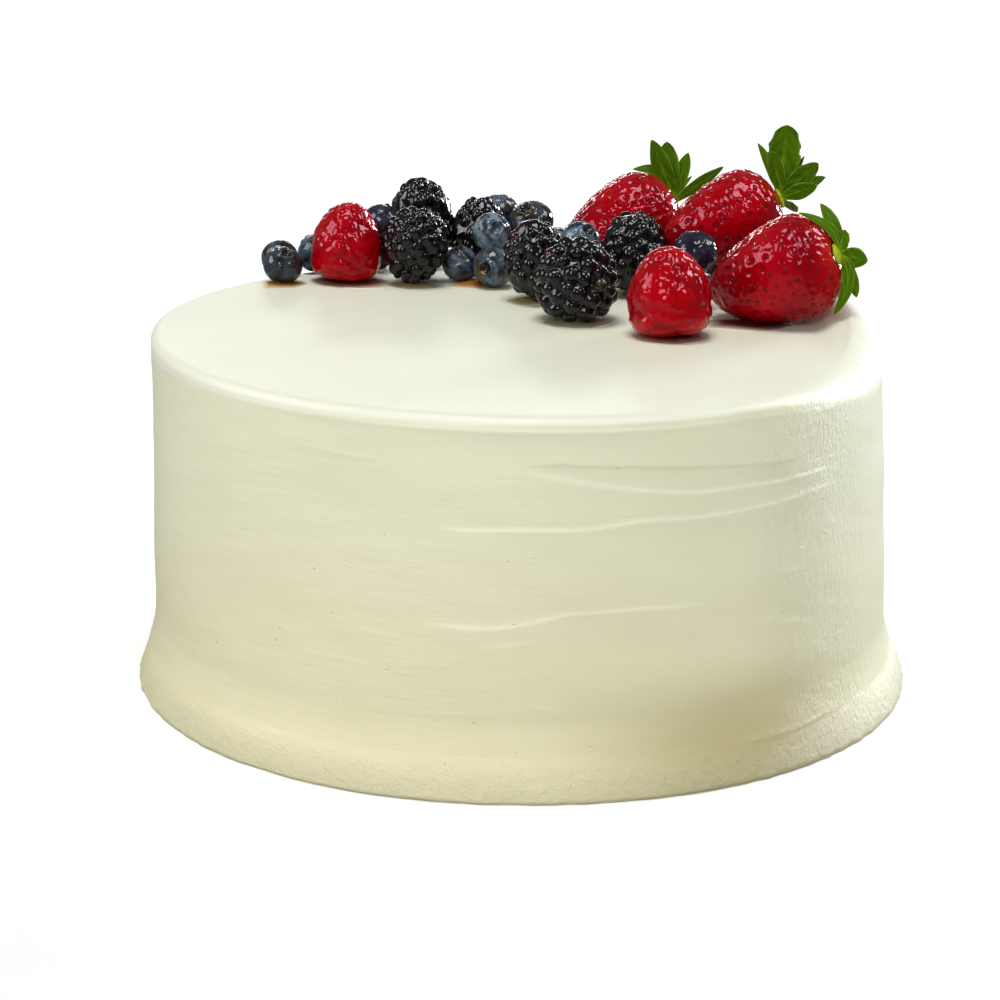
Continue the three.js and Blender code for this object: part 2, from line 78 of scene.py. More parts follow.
# Edges of knife strokes on the side: how far each edge stands out, how far above it and below
# it the cream falls back, and its course as angles from +X in degrees and heights.
KNIFE_EDGES = [
    (0.28, 7, 0.3, [(-90, 83.4), (-85, 84.3), (-65, 81.8), (-52, 79.6), (-45, 79.3)]),
    (0.31, 0.3, 6, [(-90, 83.1), (-88, 81.9), (-82, 79.6), (-74, 76.9), (-65, 75.1), (-38, 74.2)]),
    (
        0.31,
        0.35,
        8,
        [(-102, 67.7), (-94, 67.8), (-80, 68.1), (-73, 69.3), (-61, 68.7), (-36, 70.2)],
    ),
    (0.31, 0.3, 5, [(-104, 43.6), (-94, 43.3), (-89, 44.7), (-84, 47.1), (-73, 47.3), (-63, 46.6)]),
    (0.22, 0.4, 2.5, [(-97, 38.1), (-93, 38.9), (-87, 40.9)]),
    (0.19, 1.5, 0.6, [(-122, 84.6), (-115, 84.1), (-110, 83.7)]),
    (0.19, 2, 0.8, [(-91, 25.0), (-87, 22.6), (-83, 19.9)]),
    (0.19, 0.4, 3, [(-57, 40.8), (-50, 38.3), (-41, 34.8)]),
    (0.22, 2, 0.4, [(-53, 51.3), (-49, 50.4), (-44, 49.6)]),
    (0.37, 3, 0.4, [(-60, 9.2), (-54, 9.6), (-49, 9.6), (-44, 10.2), (-36, 11.1)]),
    (0.15, 0.5, 2, [(-94, 29.4), (-90, 32.1), (-88, 33.9)]),
    (0.31, 0.4, 8, [(25, 80), (50, 84), (92, 79)]),
    (0.25, 6, 0.3, [(60, 66), (100, 69), (150, 64)]),
    (0.31, 0.35, 7, [(112, 82), (140, 79), (176, 83)]),
    (0.28, 0.4, 6, [(24, 44), (45, 40), (75, 42)]),
    (0.25, 5, 0.4, [(85, 33), (120, 30), (165, 35)]),
    (0.25, 0.4, 6, [(120, 52), (150, 48), (176, 50)]),
]
EDGE_END = 4  # degrees over which an edge fades out at each end
EDGE_WAVE = 0.12  # how far an edge wavers up and down
LIFT_ANGLE = -42  # where the knife left the side, in a band of short upright marks
LIFT_SPREAD = 19
# A painted shadow low on the right front of the side: the cream is painted darker and browner
# there.
LOW_SHADE_ANGLE = -59  # middle of that painted shadow
LOW_SHADE_SPREAD = 32  # how far that place reaches to each side, in degrees
LOW_SHADE_HEIGHT = 10  # how far above the foot its middle lies
LOW_SHADE_REACH = 26  # how far it reaches up and down


def hump(distance, spread):
    """1 in the middle, falling along a cosine to 0 at the spread on each side."""
    return 0.5 + 0.5 * np.cos(np.pi * np.clip(np.abs(distance) / spread, 0, 1))


def angle_between(a, b):
    """The signed angle from b to a in degrees, between -180 and 180."""
    return (a - b + 180) % 360 - 180


def unit(vectors):
    """The vectors at length 1."""
    return vectors / np.linalg.norm(vectors, axis=-1, keepdims=True)


def waves(points, length, seed):
    """Smooth unevenness of about -1 to 1: a mean of plane waves of about the given length, each
    with its own direction and phase."""
    rng = np.random.default_rng(seed)
    count = 8
    heading = unit(rng.normal(size=(count, 3)))
    number = 2 * np.pi / (length * rng.uniform(0.7, 1.5, (count, 1)))
    phase = rng.uniform(0, 2 * np.pi, count)
    return np.sin(points @ (heading * number).T + phase).mean(axis=-1) * 1.8


def top_height(x, y):
    """Height of the top: the mean height, a slope in x and y, and a swelling along the rim that
    is a hump in the angle times a hump in the distance from the rim."""
    inward = np.maximum(0, TOP_RADIUS - RIM_ROUND - np.hypot(x, y))
    share = hump(angle_between(np.degrees(np.arctan2(y, x)), SWELL_ANGLE), SWELL_SPREAD)
    swell = SWELL_HEIGHT * share * hump(inward, SWELL_WIDTH)
    return CAKE_HEIGHT + TOP_SLOPE[0] * x + TOP_SLOPE[1] * y + swell


def side_radius(z, angle):
    """Radius of the side: a power of the depth under the top, the foot's spread, an oval, and
    five slow waves that wind round with the height."""
    low = np.maximum(0, 1 - z / CAKE_HEIGHT)
    foot = np.maximum(0, 1 - z / FOOT_HEIGHT)
    around = np.radians(angle)
    oval = OVAL[0] * np.cos(2 * around) + OVAL[1] * np.cos(around)
    uneven = oval + UNEVENNESS * np.sin(5 * around + 6 * low)
    return TOP_RADIUS + TAPER * low**1.2 + FOOT_SPREAD * foot**1.5 + uneven


def knife_relief(z, angle):
    """How far the cream stands out at a place on the side: for each knife edge, a crest along
    its course that falls off exponentially above and below, and a long soft unevenness."""
    relief = np.zeros_like(z)
    for height, above_fade, below_fade, course in KNIFE_EDGES:
        angles, heights = np.array(course, float).T
        offset = angles[0] + angle_between(angle, angles[0])
        waver = EDGE_WAVE * np.sin(np.radians(offset) * 23)
        above = z - np.interp(offset, angles, heights) - waver
        step = np.exp(-np.abs(above) / np.where(above > 0, above_fade, below_fade))
        from_end = np.minimum(offset - angles[0], angles[-1] - offset)
        relief += height * step * np.clip(from_end / EDGE_END, 0, 1)
    around = np.radians(angle)
    drawn = np.stack([np.cos(around) * 30, np.sin(around) * 30, z * 1.3], axis=-1)
    return relief + 0.16 * waves(drawn, 24, 11) + 0.06 * waves(drawn, 7, 12)


def shelf_light(z, angle):
    """How far each place on the side faces up, as -1 to 1: the fall of the relief with the
    height, over half a millimetre, times a contrast."""
    fall = knife_relief(z - 0.25, angle) - knife_relief(z + 0.25, angle)
    contrast = 2.2
    return np.clip(fall * contrast, -1, 1)


def closed_skin(rings, start, end):
    """Points and faces of a closed mesh over rings of points given as (ring, step, xyz): each
    ring is joined to the next, and a point before the first and one after the last close it."""
    count, steps = rings.shape[:2]
    points = np.concatenate([[start], rings.reshape(-1, 3), [end]])
    ring, step = np.meshgrid(np.arange(count - 1), np.arange(steps), indexing="ij")
    near = 1 + ring * steps + step
    beside = 1 + ring * steps + (step + 1) % steps
    quads = np.stack([near, beside, beside + steps, near + steps], axis=-1).reshape(-1, 4)
    here, after = np.arange(steps), (np.arange(steps) + 1) % steps
    tail = 1 + (count - 1) * steps
    first_fan = np.stack([np.zeros(steps, int), after + 1, here + 1], axis=-1)
    last_fan = np.stack([np.full(steps, len(points) - 1), tail + here, tail + after], axis=-1)
    return points, quads.tolist() + first_fan.tolist() + last_fan.tolist()


def add_piece(name, points, faces, material, nodes):
    """Makes a mesh object of points in millimetres that stands for the named nodes."""
    mesh = bpy.data.meshes.new(name)
    mesh.from_pydata(points * 0.001, [], faces)
    mesh.shade_smooth()
    mesh.materials.append(material)
    piece = bpy.data.objects.new(name, mesh)
    bpy.context.scene.collection.objects.link(piece)
    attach(piece, "root")
    if nodes:
        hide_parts(*nodes)
    return piece


def linear(colour):
    """Linear red, green and blue of an sRGB hex colour."""
    srgb = np.array([int(colour[i : i + 2], 16) for i in (1, 3, 5)]) / 255
    return np.where(srgb <= 0.04045, srgb / 12.92, ((srgb + 0.055) / 1.055) ** 2.4)


def add_node(tree, kind, settings=None, links=None):
    """Adds a shader node, sets its properties and its input sockets, and links its inputs. A
    key that names a property sets it, and any other key is an input's name or number."""
    node = tree.nodes.new(kind)
    for key, value in (settings or {}).items():
        if isinstance(key, str) and hasattr(node, key):
            setattr(node, key, value)
        else:
            node.inputs[key].default_value = value
    for key, socket in (links or {}).items():
        tree.links.new(socket, node.inputs[key])
    return node


def new_material(name):
    """A material whose node tree is still empty, and that tree."""
    material = bpy.data.materials.new(name)
    material.use_nodes = True
    material.node_tree.nodes.clear()
    return material, material.node_tree


def paint(piece, colours):
    """Stores a linear colour for each point of a piece, as the attribute that its skin reads."""
    layer = piece.data.color_attributes.new("tint", "FLOAT_COLOR", "POINT")
    opaque = np.concatenate([colours, np.ones((len(colours), 1))], axis=1)
    layer.data.foreach_set("color", opaque.ravel())


def blend(first, second, share):
    """Colours between two colours, or two sets of them, by a share at each point."""
    share = np.clip(share, 0, 1)[:, None]
    return first * (1 - share) + second * share


CAKE_STEPS = 400  # facets round the cake
SIDE_RINGS = 196
TOP_RINGS = 32
FOOT_TURNS = np.linspace(0, 80, 5)  # degrees at which the foot's round is split
RIM_TURNS = np.linspace(0, 84, 8)  # degrees at which the rim's round is split

angle = 360 * np.arange(CAKE_STEPS) / CAKE_STEPS
around = np.radians(angle)
outwards = np.stack([np.cos(around), np.sin(around), 0 * around], axis=-1)
rim_top = top_height(TOP_RADIUS * np.cos(around), TOP_RADIUS * np.sin(around))
rounding = RIM_ROUND + SLUMP_ROUND * hump(angle_between(angle, SLUMP_ANGLE), SLUMP_SPREAD)

# the side, from the round of the foot to where the rim begins to turn
foot_turn = np.radians(FOOT_TURNS)[:, None]
foot_z = FOOT_ROUND * (1 - np.cos(foot_turn)) + 0 * angle
foot_radius = side_radius(foot_z, angle) - FOOT_ROUND * (1 - np.sin(foot_turn))
up = (np.arange(SIDE_RINGS)[:, None] + 0.5) / SIDE_RINGS
side_z = FOOT_ROUND + (rim_top - rounding - FOOT_ROUND) * up
bead = BEAD_HEIGHT * hump(angle_between(angle, BEAD_ANGLE), BEAD_SPREAD)
bead_level = rim_top - np.maximum(BEAD_DROP, rounding + BEAD_WIDTH)
under_rim = side_z - bead_level
bead_share = np.exp(-((under_rim / (0.6 * BEAD_WIDTH)) ** 2))
side = side_radius(side_z, angle) + knife_relief(side_z, angle + 0 * side_z) + bead * bead_share
ragged = RAGGEDNESS * waves(outwards * TOP_RADIUS, 5, 21)
foot_radius += ragged * np.sin(foot_turn)
side += ragged * np.clip(1 - side_z / 5, 0, 1)

# the rim's round and the top, which the knife left with faint rings and a soft dent or two
rim_turn = np.radians(RIM_TURNS)[:, None]
rim_side = side_radius(rim_top - rounding, angle)
last_relief = knife_relief(rim_top - rounding, angle)
rim_radius = rim_side - rounding + rounding * np.cos(rim_turn) + last_relief * np.cos(rim_turn)
rim_z = rim_top - rounding + rounding * np.sin(rim_turn)
top_share = np.linspace(1, 0.02, TOP_RINGS)[:, None] ** 0.8
top_radius = (rim_side - rounding) * top_share
top_x, top_y = top_radius * np.cos(around), top_radius * np.sin(around)
rings_of_knife = 0.10 * np.sin(top_radius / 3.1 + 3 * np.sin(around) + 2 * np.cos(2 * around))
soft = waves(np.stack([top_x, top_y, 0 * top_x], axis=-1), 45, 5)
flat = np.clip((1 - top_share) * 12, 0, 1)
top_z = top_height(top_x, top_y) + flat * (rings_of_knife * 0.5 + 0.25 * soft)

radii = np.concatenate([foot_radius, side, rim_radius, top_radius])
heights = np.concatenate([foot_z, side_z, rim_z, top_z])
cake_rings = outwards * radii[..., None]
cake_rings[..., 0] += FOOT_SHIFT * (1 - heights / CAKE_HEIGHT)
cake_rings[..., 2] = heights
cake_points, cake_faces = closed_skin(cake_rings, (FOOT_SHIFT, 0, 0), (0, 0, CAKE_HEIGHT))

# the origin is the middle of the footprint, so the middle of the top lies a little off it
footprint = (cake_points.min(axis=0) + cake_points.max(axis=0)) / 2 * (1, 1, 0)
cake_points -= footprint

# Whipped cream: a soft white with a little butter yellow, its light spread under the skin, with
# the long fine lines of the knife, short upright marks where it was lifted, and here and there
# the pit of a burst air bubble.
cream, tree = new_material("whipped chantilly cream")
place = add_node(tree, "ShaderNodeTexCoord")
drawn_out = add_node(
    tree,
    "ShaderNodeMapping",
    {"Scale": (60, 60, 600)},  # lines 17 mm long and 1.7 mm high
    {"Vector": place.outputs["Object"]},
)
knife_lines = add_node(
    tree,
    "ShaderNodeTexNoise",
    {"Scale": 1, "Detail": 3, "Roughness": 0.55},
    {"Vector": drawn_out.outputs[0]},
)
stood_up = add_node(
    tree,
    "ShaderNodeMapping",
    {"Scale": (700, 700, 170)},  # marks 6 mm high and 1.4 mm wide
    {"Vector": place.outputs["Object"]},
)
lift_marks = add_node(
    tree,
    "ShaderNodeTexNoise",
    {"Scale": 1, "Detail": 3, "Roughness": 0.6},
    {"Vector": stood_up.outputs[0]},
)
lift = add_node(tree, "ShaderNodeAttribute", {"attribute_name": "lifted"})
marks = add_node(
    tree,
    "ShaderNodeMath",
    {"operation": "MULTIPLY"},
    {0: lift_marks.outputs["Fac"], 1: lift.outputs["Fac"]},
)
bubbles = add_node(
    tree,
    "ShaderNodeTexVoronoi",
    {"Scale": 150},  # one cell each 7 mm
    {"Vector": place.outputs["Object"]},
)
pit = add_node(
    tree,
    "ShaderNodeMapRange",
    {"From Min": 0.02, "From Max": 0.07, "To Min": -0.3, "To Max": 0},
    {"Value": bubbles.outputs["Distance"]},
)
lines_and_pits = add_node(
    tree,
    "ShaderNodeMath",
    {"operation": "MULTIPLY_ADD", 1: 0.13},
    {0: knife_lines.outputs["Fac"], 2: pit.outputs["Result"]},
)
skin = add_node(
    tree,
    "ShaderNodeMath",
    {"operation": "ADD"},
    {0: marks.outputs[0], 1: lines_and_pits.outputs[0]},
)
grain = add_node(
    tree,
    "ShaderNodeTexNoise",
    {"Scale": 420, "Detail": 5, "Roughness": 0.75},  # crumbs of 2.4 mm
    {"Vector": place.outputs["Object"]},
)
coarseness = add_node(tree, "ShaderNodeAttribute", {"attribute_name": "coarse"})
crumbs = add_node(
    tree,
    "ShaderNodeMath",
    {"operation": "MULTIPLY_ADD"},
    {0: grain.outputs["Fac"], 1: coarseness.outputs["Fac"], 2: skin.outputs[0]},
)
bump = add_node(
    tree,
    "ShaderNodeBump",
    {"Strength": 0.9, "Distance": 0.001},
    {"Height": crumbs.outputs[0]},
)
cloud = add_node(
    tree,
    "ShaderNodeTexNoise",
    {"Scale": 26, "Detail": 2},  # clouds of 40 mm in the colour
    {"Vector": place.outputs["Object"]},
)
tint = add_node(tree, "ShaderNodeAttribute", {"attribute_name": "tint"})
cream_colour = add_node(
    tree,
    "ShaderNodeMix",
    {"data_type": "RGBA", "blend_type": "MULTIPLY", 7: (*linear("#f7f7f2"), 1)},
    {"Factor": cloud.outputs["Fac"], 6: tint.outputs["Color"]},
)
shader = add_node(
    tree,
    "ShaderNodeBsdfPrincipled",
    {
        "Roughness": 0.48,
        "IOR": 1.45,
        "Subsurface Weight": 0.1,
        "Subsurface Radius": (1.0, 0.8, 0.5),
        "Subsurface Scale": 0.002,
    },
    {"Base Color": cream_colour.outputs[2], "Normal": bump.outputs[0]},
)
add_node(tree, "ShaderNodeOutputMaterial", None, {"Surface": shader.outputs[0]})

cake = add_piece("iced_cake", cake_points, cake_faces, cream, ["cake"])
place_angle = np.degrees(np.arctan2(cake_points[:, 1], cake_points[:, 0]))
place_z = cake_points[:, 2]
lift_share = hump(angle_between(place_angle, LIFT_ANGLE), LIFT_SPREAD)
on_side = np.clip((CAKE_HEIGHT - 2 - place_z) / 6, 0, 1) * (place_z > 1)
low_band = np.clip((11 - place_z) / 8, 0, 1) * (place_z > 0.5)
roughened = {
    "lifted": on_side * np.clip(0.7 * lift_share**0.7, 0.03, 1),
    "coarse": 1.6 * low_band + 0.8 * on_side * lift_share,
}
for name, values in roughened.items():
    cake.data.attributes.new(name, "FLOAT", "POINT").data.foreach_set("value", values)

# painted light and shade on the cream: a painted highlight where the side faces up and along the
# bead, painted shade (browner) under an edge, painted light that makes the top and rim paler,
# painted shade that makes it darker and yellower towards the foot, and a painted shadow low on the
# right front
from_bead = place_z - np.interp(place_angle % 360, angle, bead_level)
bead_light = hump(angle_between(place_angle, BEAD_ANGLE), BEAD_SPREAD)
bead_light = bead_light * np.exp(-((from_bead / 0.7) ** 2))
light_and_shade = shelf_light(place_z, place_angle) * on_side + 0.3 * bead_light
# a painted shadow low on the right front of the side, where the cream is painted darker and browner
low_shade = hump(angle_between(place_angle, LOW_SHADE_ANGLE), LOW_SHADE_SPREAD)
low_shade = low_shade * hump(place_z - LOW_SHADE_HEIGHT, LOW_SHADE_REACH)
# painted highlight where the side faces up, painted shade where it faces down under an edge
colours = blend(linear("#e1dfc2"), linear("#efeee0"), light_and_shade)
colours = blend(colours, linear("#c9c59c"), -0.8 * light_and_shade)
# painted light: the top and the rim are painted paler and cooler, for the light from above
colours = blend(colours, linear("#e9e9d8"), 0.8 * (place_z > CAKE_HEIGHT - 4))
# painted shade: the side is painted darker and yellower towards the foot, for less light there
colours = blend(colours, linear("#d8d0a8"), 0.8 * (1 - place_z / 70))
colours = blend(colours, linear("#a99c6c"), 0.75 * low_shade)
paint(cake, colours)

# ---------------------------------------------------------------- the blueberries
# Whole blueberries, a little flatter than round, with the five-pointed crown pressed in at the
# end. Their waxy bloom is steel blue where it is whole and gone where the glaze took it off.

# Node: widest radius, length, heading and rise of the crown, how much bloom is left, and how
# brown the skin is.
BLUEBERRIES = {
    "blueberry_1": (5.9, 10.6, -60, 55, 0.12, 0.2),
    "blueberry_2": (5.6, 10.0, 100, 20, 0.2, 0.2),
    "blueberry_3": (6.2, 11.0, 140, 40, 0.3, 0.2),
    "blueberry_4": (5.8, 10.4, -100, 70, 0.4, 0.3),
    "blueberry_5": (6.2, 11.2, -115, 5, 0.4, 1.0),
    "blueberry_6": (5.2, 9.4, 90, 10, 0.05, 0.2),
    "blueberry_7": (4.8, 8.6, 70, 30, 0.5, 0.2),
    "blueberry_8": (5.5, 10.0, 60, 70, 0.5, 0.2),
    "blueberry_9": (5.2, 9.4, 120, 15, 0.3, 0.2),
    "blueberry_10": (6.8, 12.2, 80, 35, 0.9, 0.0),
    "blueberry_11": (5.4, 9.8, 200, 60, 0.4, 0.1),
    "blueberry_12": (5.2, 9.6, 10, 60, 0.2, 0.1),
    "blueberry_13": (6.4, 11.2, 20, 30, 0.3, 0.1),
    "blueberry_14": (6.4, 11.6, 70, 20, 0.4, 0.2),
    "blueberry_15": (6.0, 10.8, 40, 25, 0.5, 0.1),
    "blueberry_16": (5.6, 10.2, 150, 35, 0.25, 0.2),
    "blueberry_17": (5.8, 10.4, 30, 50, 0.2, 0.0),
    "blueberry_18": (6.0, 10.8, -70, 25, 1.0, 0.3),
    "blueberry_19": (6.3, 11.2, 100, 40, 0.4, 0.6),
    "blueberry_20": (7.0, 12.4, -120, 50, 0.15, 0.6),
    "blueberry_21": (6.2, 11.2, -60, 45, 0.6, 0.2),
    "blueberry_22": (6.9, 12.6, 170, 50, 0.1, 0.0),
}
# Share of violet in the skin of the three berries that show next to no blue.
VIOLET = {"blueberry_16": 0.25, "blueberry_17": 0.5, "blueberry_22": 0.4}
CROWN_RADIUS = 2.1  # of the crown's ring of points
CROWN_HEIGHT = 0.7
CROWN_POINTS = 5
BLUEBERRY_GRID = (52, 60)  # rings along the fruit, and steps round it
CLEARANCE = 0.3  # that each solid keeps from what carries it: the real fruit sits in its glaze


def fruit_grid(rings, steps):
    """Share of the length and angle round the axis of each grid point, without the two ends.
    The shares follow a cosine, so the rings are as close at the ends as on a sphere."""
    polar = np.pi * (np.arange(rings) + 1) / (rings + 1)
    share = (0.5 - 0.5 * np.cos(polar))[:, None] + np.zeros(steps)
    turned = 2 * np.pi * np.arange(steps) / steps + np.zeros((rings, 1))
    return share, turned


def fruit_hull(profile, radius, length, share, turned):
    """Points of a fruit along +Z: the radius times the profile's value at each share of the
    length, carried round the axis."""
    out = radius * profile(share)
    return np.stack([out * np.cos(turned), out * np.sin(turned), length * (share - 0.5)], axis=-1)


def tip_turn(heading, rise):
    """The shortest rotation from +Z to the given heading and rise."""
    level = np.cos(np.radians(rise))
    tip = Vector(
        (
            level * np.cos(np.radians(heading)),
            level * np.sin(np.radians(heading)),
            np.sin(np.radians(rise)),
        )
    )
    return np.array(Vector((0, 0, 1)).rotation_difference(tip).to_matrix())


def seat(points, node):
    """How far to move turned points so that they rest where the node does: the middles of the
    two boxes agree in X and Y, and the lowest points in Z, less the solid's clearance."""
    low, high = (np.array(corner) * 1000 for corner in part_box(node))
    move = (low + high) / 2 - (points.min(axis=0) + points.max(axis=0)) / 2
    move[2] = low[2] - CLEARANCE - points[:, 2].min()
    return move


def blueberry_profile(share):
    """Half an ellipse."""
    return np.sqrt(4 * share * (1 - share))


def add_blueberry(node, radius, length, heading, rise, bloom, brown):
    """One berry: the hull, with a ring of points round a hollow at the crown end, slightly
    dented, and coloured by where its bloom is left."""
    share, turned = fruit_grid(*BLUEBERRY_GRID)
    rings = fruit_hull(blueberry_profile, radius, length, share, turned)
    from_axis = np.hypot(rings[..., 0], rings[..., 1])
    crown = share > 0.5
    lobes = 0.45 + 0.55 * np.abs(np.cos(CROWN_POINTS / 2 * turned))
    ring_of_points = CROWN_HEIGHT * lobes * np.exp(-(((from_axis - CROWN_RADIUS) / 0.5) ** 2))
    hollow = 0.12 * length * hump(from_axis, CROWN_RADIUS)
    rings[..., 2] += crown * (ring_of_points - hollow)
    seed = int(node.split("_")[1])
    rings *= 1 + 0.012 * waves(rings, 6, seed)[..., None]
    points, faces = closed_skin(rings, (0, 0, -length / 2), (0, 0, 0.38 * length))
    local = points.copy()
    points = points @ tip_turn(heading, rise).T
    points += seat(points, node)

    piece = add_piece("glazed_" + node, points, faces, blueberry_skin, [node])
    patches = 0.5 + 0.9 * waves(local, 4.5, seed + 40) + 0.5 * waves(local, 1.6, seed + 60)
    at_crown = hump(np.hypot(local[:, 0], local[:, 1]), 3.2) * (local[:, 2] > 0)
    colours = blend(linear("#0e1118"), linear("#7a92a8"), bloom * np.clip(patches, 0.1, 1.2))
    stained = brown * (0.3 + 1.1 * waves(local, 5, seed + 80))
    colours = blend(colours, linear("#4e3d1a"), 0.8 * stained)
    colours = blend(colours, linear("#17130e"), 0.8 * at_crown)
    colours = blend(colours, linear("#241430"), np.full(len(points), VIOLET.get(node, 0)))
    paint(piece, colours)


# Blueberry skin: matt waxed navy, which shines only through its thin coat of apple glaze.
blueberry_skin, tree = new_material("glazed blueberry skin")
place = add_node(tree, "ShaderNodeTexCoord")
tint = add_node(tree, "ShaderNodeAttribute", {"attribute_name": "tint"})
speckle = add_node(
    tree,
    "ShaderNodeTexNoise",
    {"Scale": 1400, "Detail": 3},  # specks of 0.7 mm
    {"Vector": place.outputs["Object"]},
)
strength = add_node(
    tree,
    "ShaderNodeMapRange",
    {"From Min": 0.3, "From Max": 0.7, "To Min": 0.7, "To Max": 1.3},
    {"Value": speckle.outputs["Fac"]},
)
speckled = add_node(
    tree,
    "ShaderNodeHueSaturation",
    None,
    {"Color": tint.outputs["Color"], "Value": strength.outputs["Result"]},
)
glaze_bump = add_node(
    tree,
    "ShaderNodeBump",
    {"Strength": 0.25, "Distance": 0.0003},
    {"Height": speckle.outputs["Fac"]},
)
swell = add_node(
    tree,
    "ShaderNodeTexNoise",
    {"Scale": 330, "Detail": 2},  # ripples of 3 mm in the glaze
    {"Vector": place.outputs["Object"]},
)
glaze_ripple = add_node(
    tree,
    "ShaderNodeBump",
    {"Strength": 0.5, "Distance": 0.0012},
    {"Height": swell.outputs["Fac"]},
)
shader = add_node(
    tree,
    "ShaderNodeBsdfPrincipled",
    {
        "Roughness": 0.5,
        "Specular IOR Level": 0.0,
        "Coat Weight": 1,
        "Coat Roughness": 0.06,
        "Coat IOR": 1.36,
    },
    {
        "Base Color": speckled.outputs[0],
        "Normal": glaze_bump.outputs[0],
        "Coat Normal": glaze_ripple.outputs[0],
    },
)
add_node(tree, "ShaderNodeOutputMaterial", None, {"Surface": shader.outputs[0]})

for node, row in BLUEBERRIES.items():
    add_blueberry(node, *row)

# ---------------------------------------------------------------- the raspberries
# Two raspberries stood on their open ends. Their drupelets are drowned in glaze, so the grooves
# are shallow and the light lies on them in wide pink patches.

# Node: widest radius, length, heading and rise of the tip, and how much glaze lies on it.
RASPBERRIES = {
    "raspberry_1": (10.7, 23.4, 20, 84, 0.2),
    "raspberry_2": (11.7, 24.2, 150, 84, 0.2),
}
RASPBERRY_DRUPELETS = 90
RASPBERRY_DEPTH = 0.075  # of the grooves, as a share of the radius
DRUPELET_GRID = (150, 150)  # rings along the fruit, and steps round it


def drupelet_directions(count, seed):
    """Directions wound evenly from pole to pole by the golden angle, each moved a little."""
    number = np.arange(count)
    z = 1 - (2 * number + 1) / count
    flat = np.sqrt(1 - z**2)
    turned = number * np.pi * (3 - np.sqrt(5))
    directions = np.stack([flat * np.cos(turned), flat * np.sin(turned), z], axis=-1)
    rng = np.random.default_rng(seed)
    directions += rng.normal(0, 0.45 / np.sqrt(count), directions.shape)
    sizes = rng.uniform(0.86, 1.16, count)
    return unit(directions), sizes


def drupelet_relief(directions, sizes, share, turned, reach, glaze):
    """For each grid point the height of its drupelet's dome, from 0 in the deepest groove to 1,
    and the number of that drupelet. A dome is the half ellipse of the angle from its middle
    over its reach times its size. Where glaze fills the grooves, no dome is lower than that."""
    z = 2 * share - 1
    flat = np.sqrt(1 - z**2)
    points = np.stack([flat * np.cos(turned), flat * np.sin(turned), z], axis=-1)
    away = np.arccos(np.clip(points @ directions.T, -1, 1)) / sizes
    nearest = away.argmin(axis=-1)
    dome = np.sqrt(np.maximum(0, 1 - (away.min(axis=-1) / reach) ** 2))
    soft = 0.06  # of the height over which glaze and dome run together
    return soft * np.logaddexp(dome / soft, glaze / soft), nearest


def raspberry_profile(share):
    """A power of the half ellipse, blunter and wider at the open end and cut off at 1."""
    blunt = np.abs(4 * share * (1 - share)) ** np.where(share < 0.5, 0.24, 0.42)
    return np.minimum(1, 1.1 * blunt * (1.08 - 0.38 * share))


def with_ends(values, start, end):
    """Values on the grid of a closed skin in one row, with those of its two end points."""
    return np.concatenate([[start], values.ravel(), [end]])


def drupelet_fruit(node, profile, row, drupelets, depth):
    """One fruit of drupelets: the hull, sunk along the grooves between them, with the glaze
    pooled in the grooves where a soft unevenness is high. Gives its points and faces, the
    points in the fruit's own frame, the heights of the domes and the drupelets' numbers."""
    radius, length, heading, rise, pool = row
    seed = int(node.split("_")[1])
    share, turned = fruit_grid(*DRUPELET_GRID)
    directions, sizes = drupelet_directions(drupelets, seed + len(node))
    hull = fruit_hull(profile, radius, length, share, turned)
    glaze = np.clip(0.45 + pool + 0.5 * waves(hull, 12, seed + 5), 0, 0.97)
    reach = np.sqrt(4 / drupelets) * 1.02
    dome, nearest = drupelet_relief(directions, sizes, share, turned, reach, glaze)
    uneven = 1 + 0.02 * waves(hull, 12, seed + 9) + 0.006 * waves(hull, 2.2, seed + 11)
    rings = hull * ((1 - depth * (1 - dome)) * uneven)[..., None]
    end = length / 2 * (1 - depth * 0.5)
    local, faces = closed_skin(rings, (0, 0, -end), (0, 0, end))
    points = local @ tip_turn(heading, rise).T
    points += seat(points, node)
    dome, nearest = (with_ends(part, part[0, 0], part[-1, 0]) for part in (dome, nearest))
    return points, faces, local, dome, nearest


def rippled_skin(name, ripples, strength, depth, finish):
    """A glazed skin: the colour that is painted on the piece, in a shader of the given finish.
    The glaze's ripples are a noise that bumps the skin and its coat alike."""
    material, tree = new_material(name)
    place = add_node(tree, "ShaderNodeTexCoord")
    tint = add_node(tree, "ShaderNodeAttribute", {"attribute_name": "tint"})
    grain = add_node(tree, "ShaderNodeTexNoise", ripples, {"Vector": place.outputs["Object"]})
    ripple = add_node(
        tree,
        "ShaderNodeBump",
        {"Strength": strength, "Distance": depth},
        {"Height": grain.outputs["Fac"]},
    )
    shader = add_node(
        tree,
        "ShaderNodeBsdfPrincipled",
        finish,
        {
            "Base Color": tint.outputs["Color"],
            "Normal": ripple.outputs[0],
            "Coat Normal": ripple.outputs[0],
        },
    )
    add_node(tree, "ShaderNodeOutputMaterial", None, {"Surface": shader.outputs[0]})
    return material


# Raspberry flesh: translucent red drupelets, wet with glaze that is thick enough to lose them.
raspberry_flesh = rippled_skin(
    "glazed raspberry flesh",
    {"Scale": 420, "Detail": 2},  # ripples of 2.4 mm in the glaze
    strength=0.3,
    depth=0.0009,
    finish={
        "Roughness": 0.08,
        "Specular IOR Level": 0.2,
        "Specular Tint": (1, 0.35, 0.55, 1),
        "Subsurface Weight": 0.1,
        "Subsurface Radius": (1.0, 0.2, 0.1),
        "Subsurface Scale": 0.002,
        "Coat Weight": 0.25,
        "Coat Roughness": 0.04,
        "Coat IOR": 1.36,
    },
)

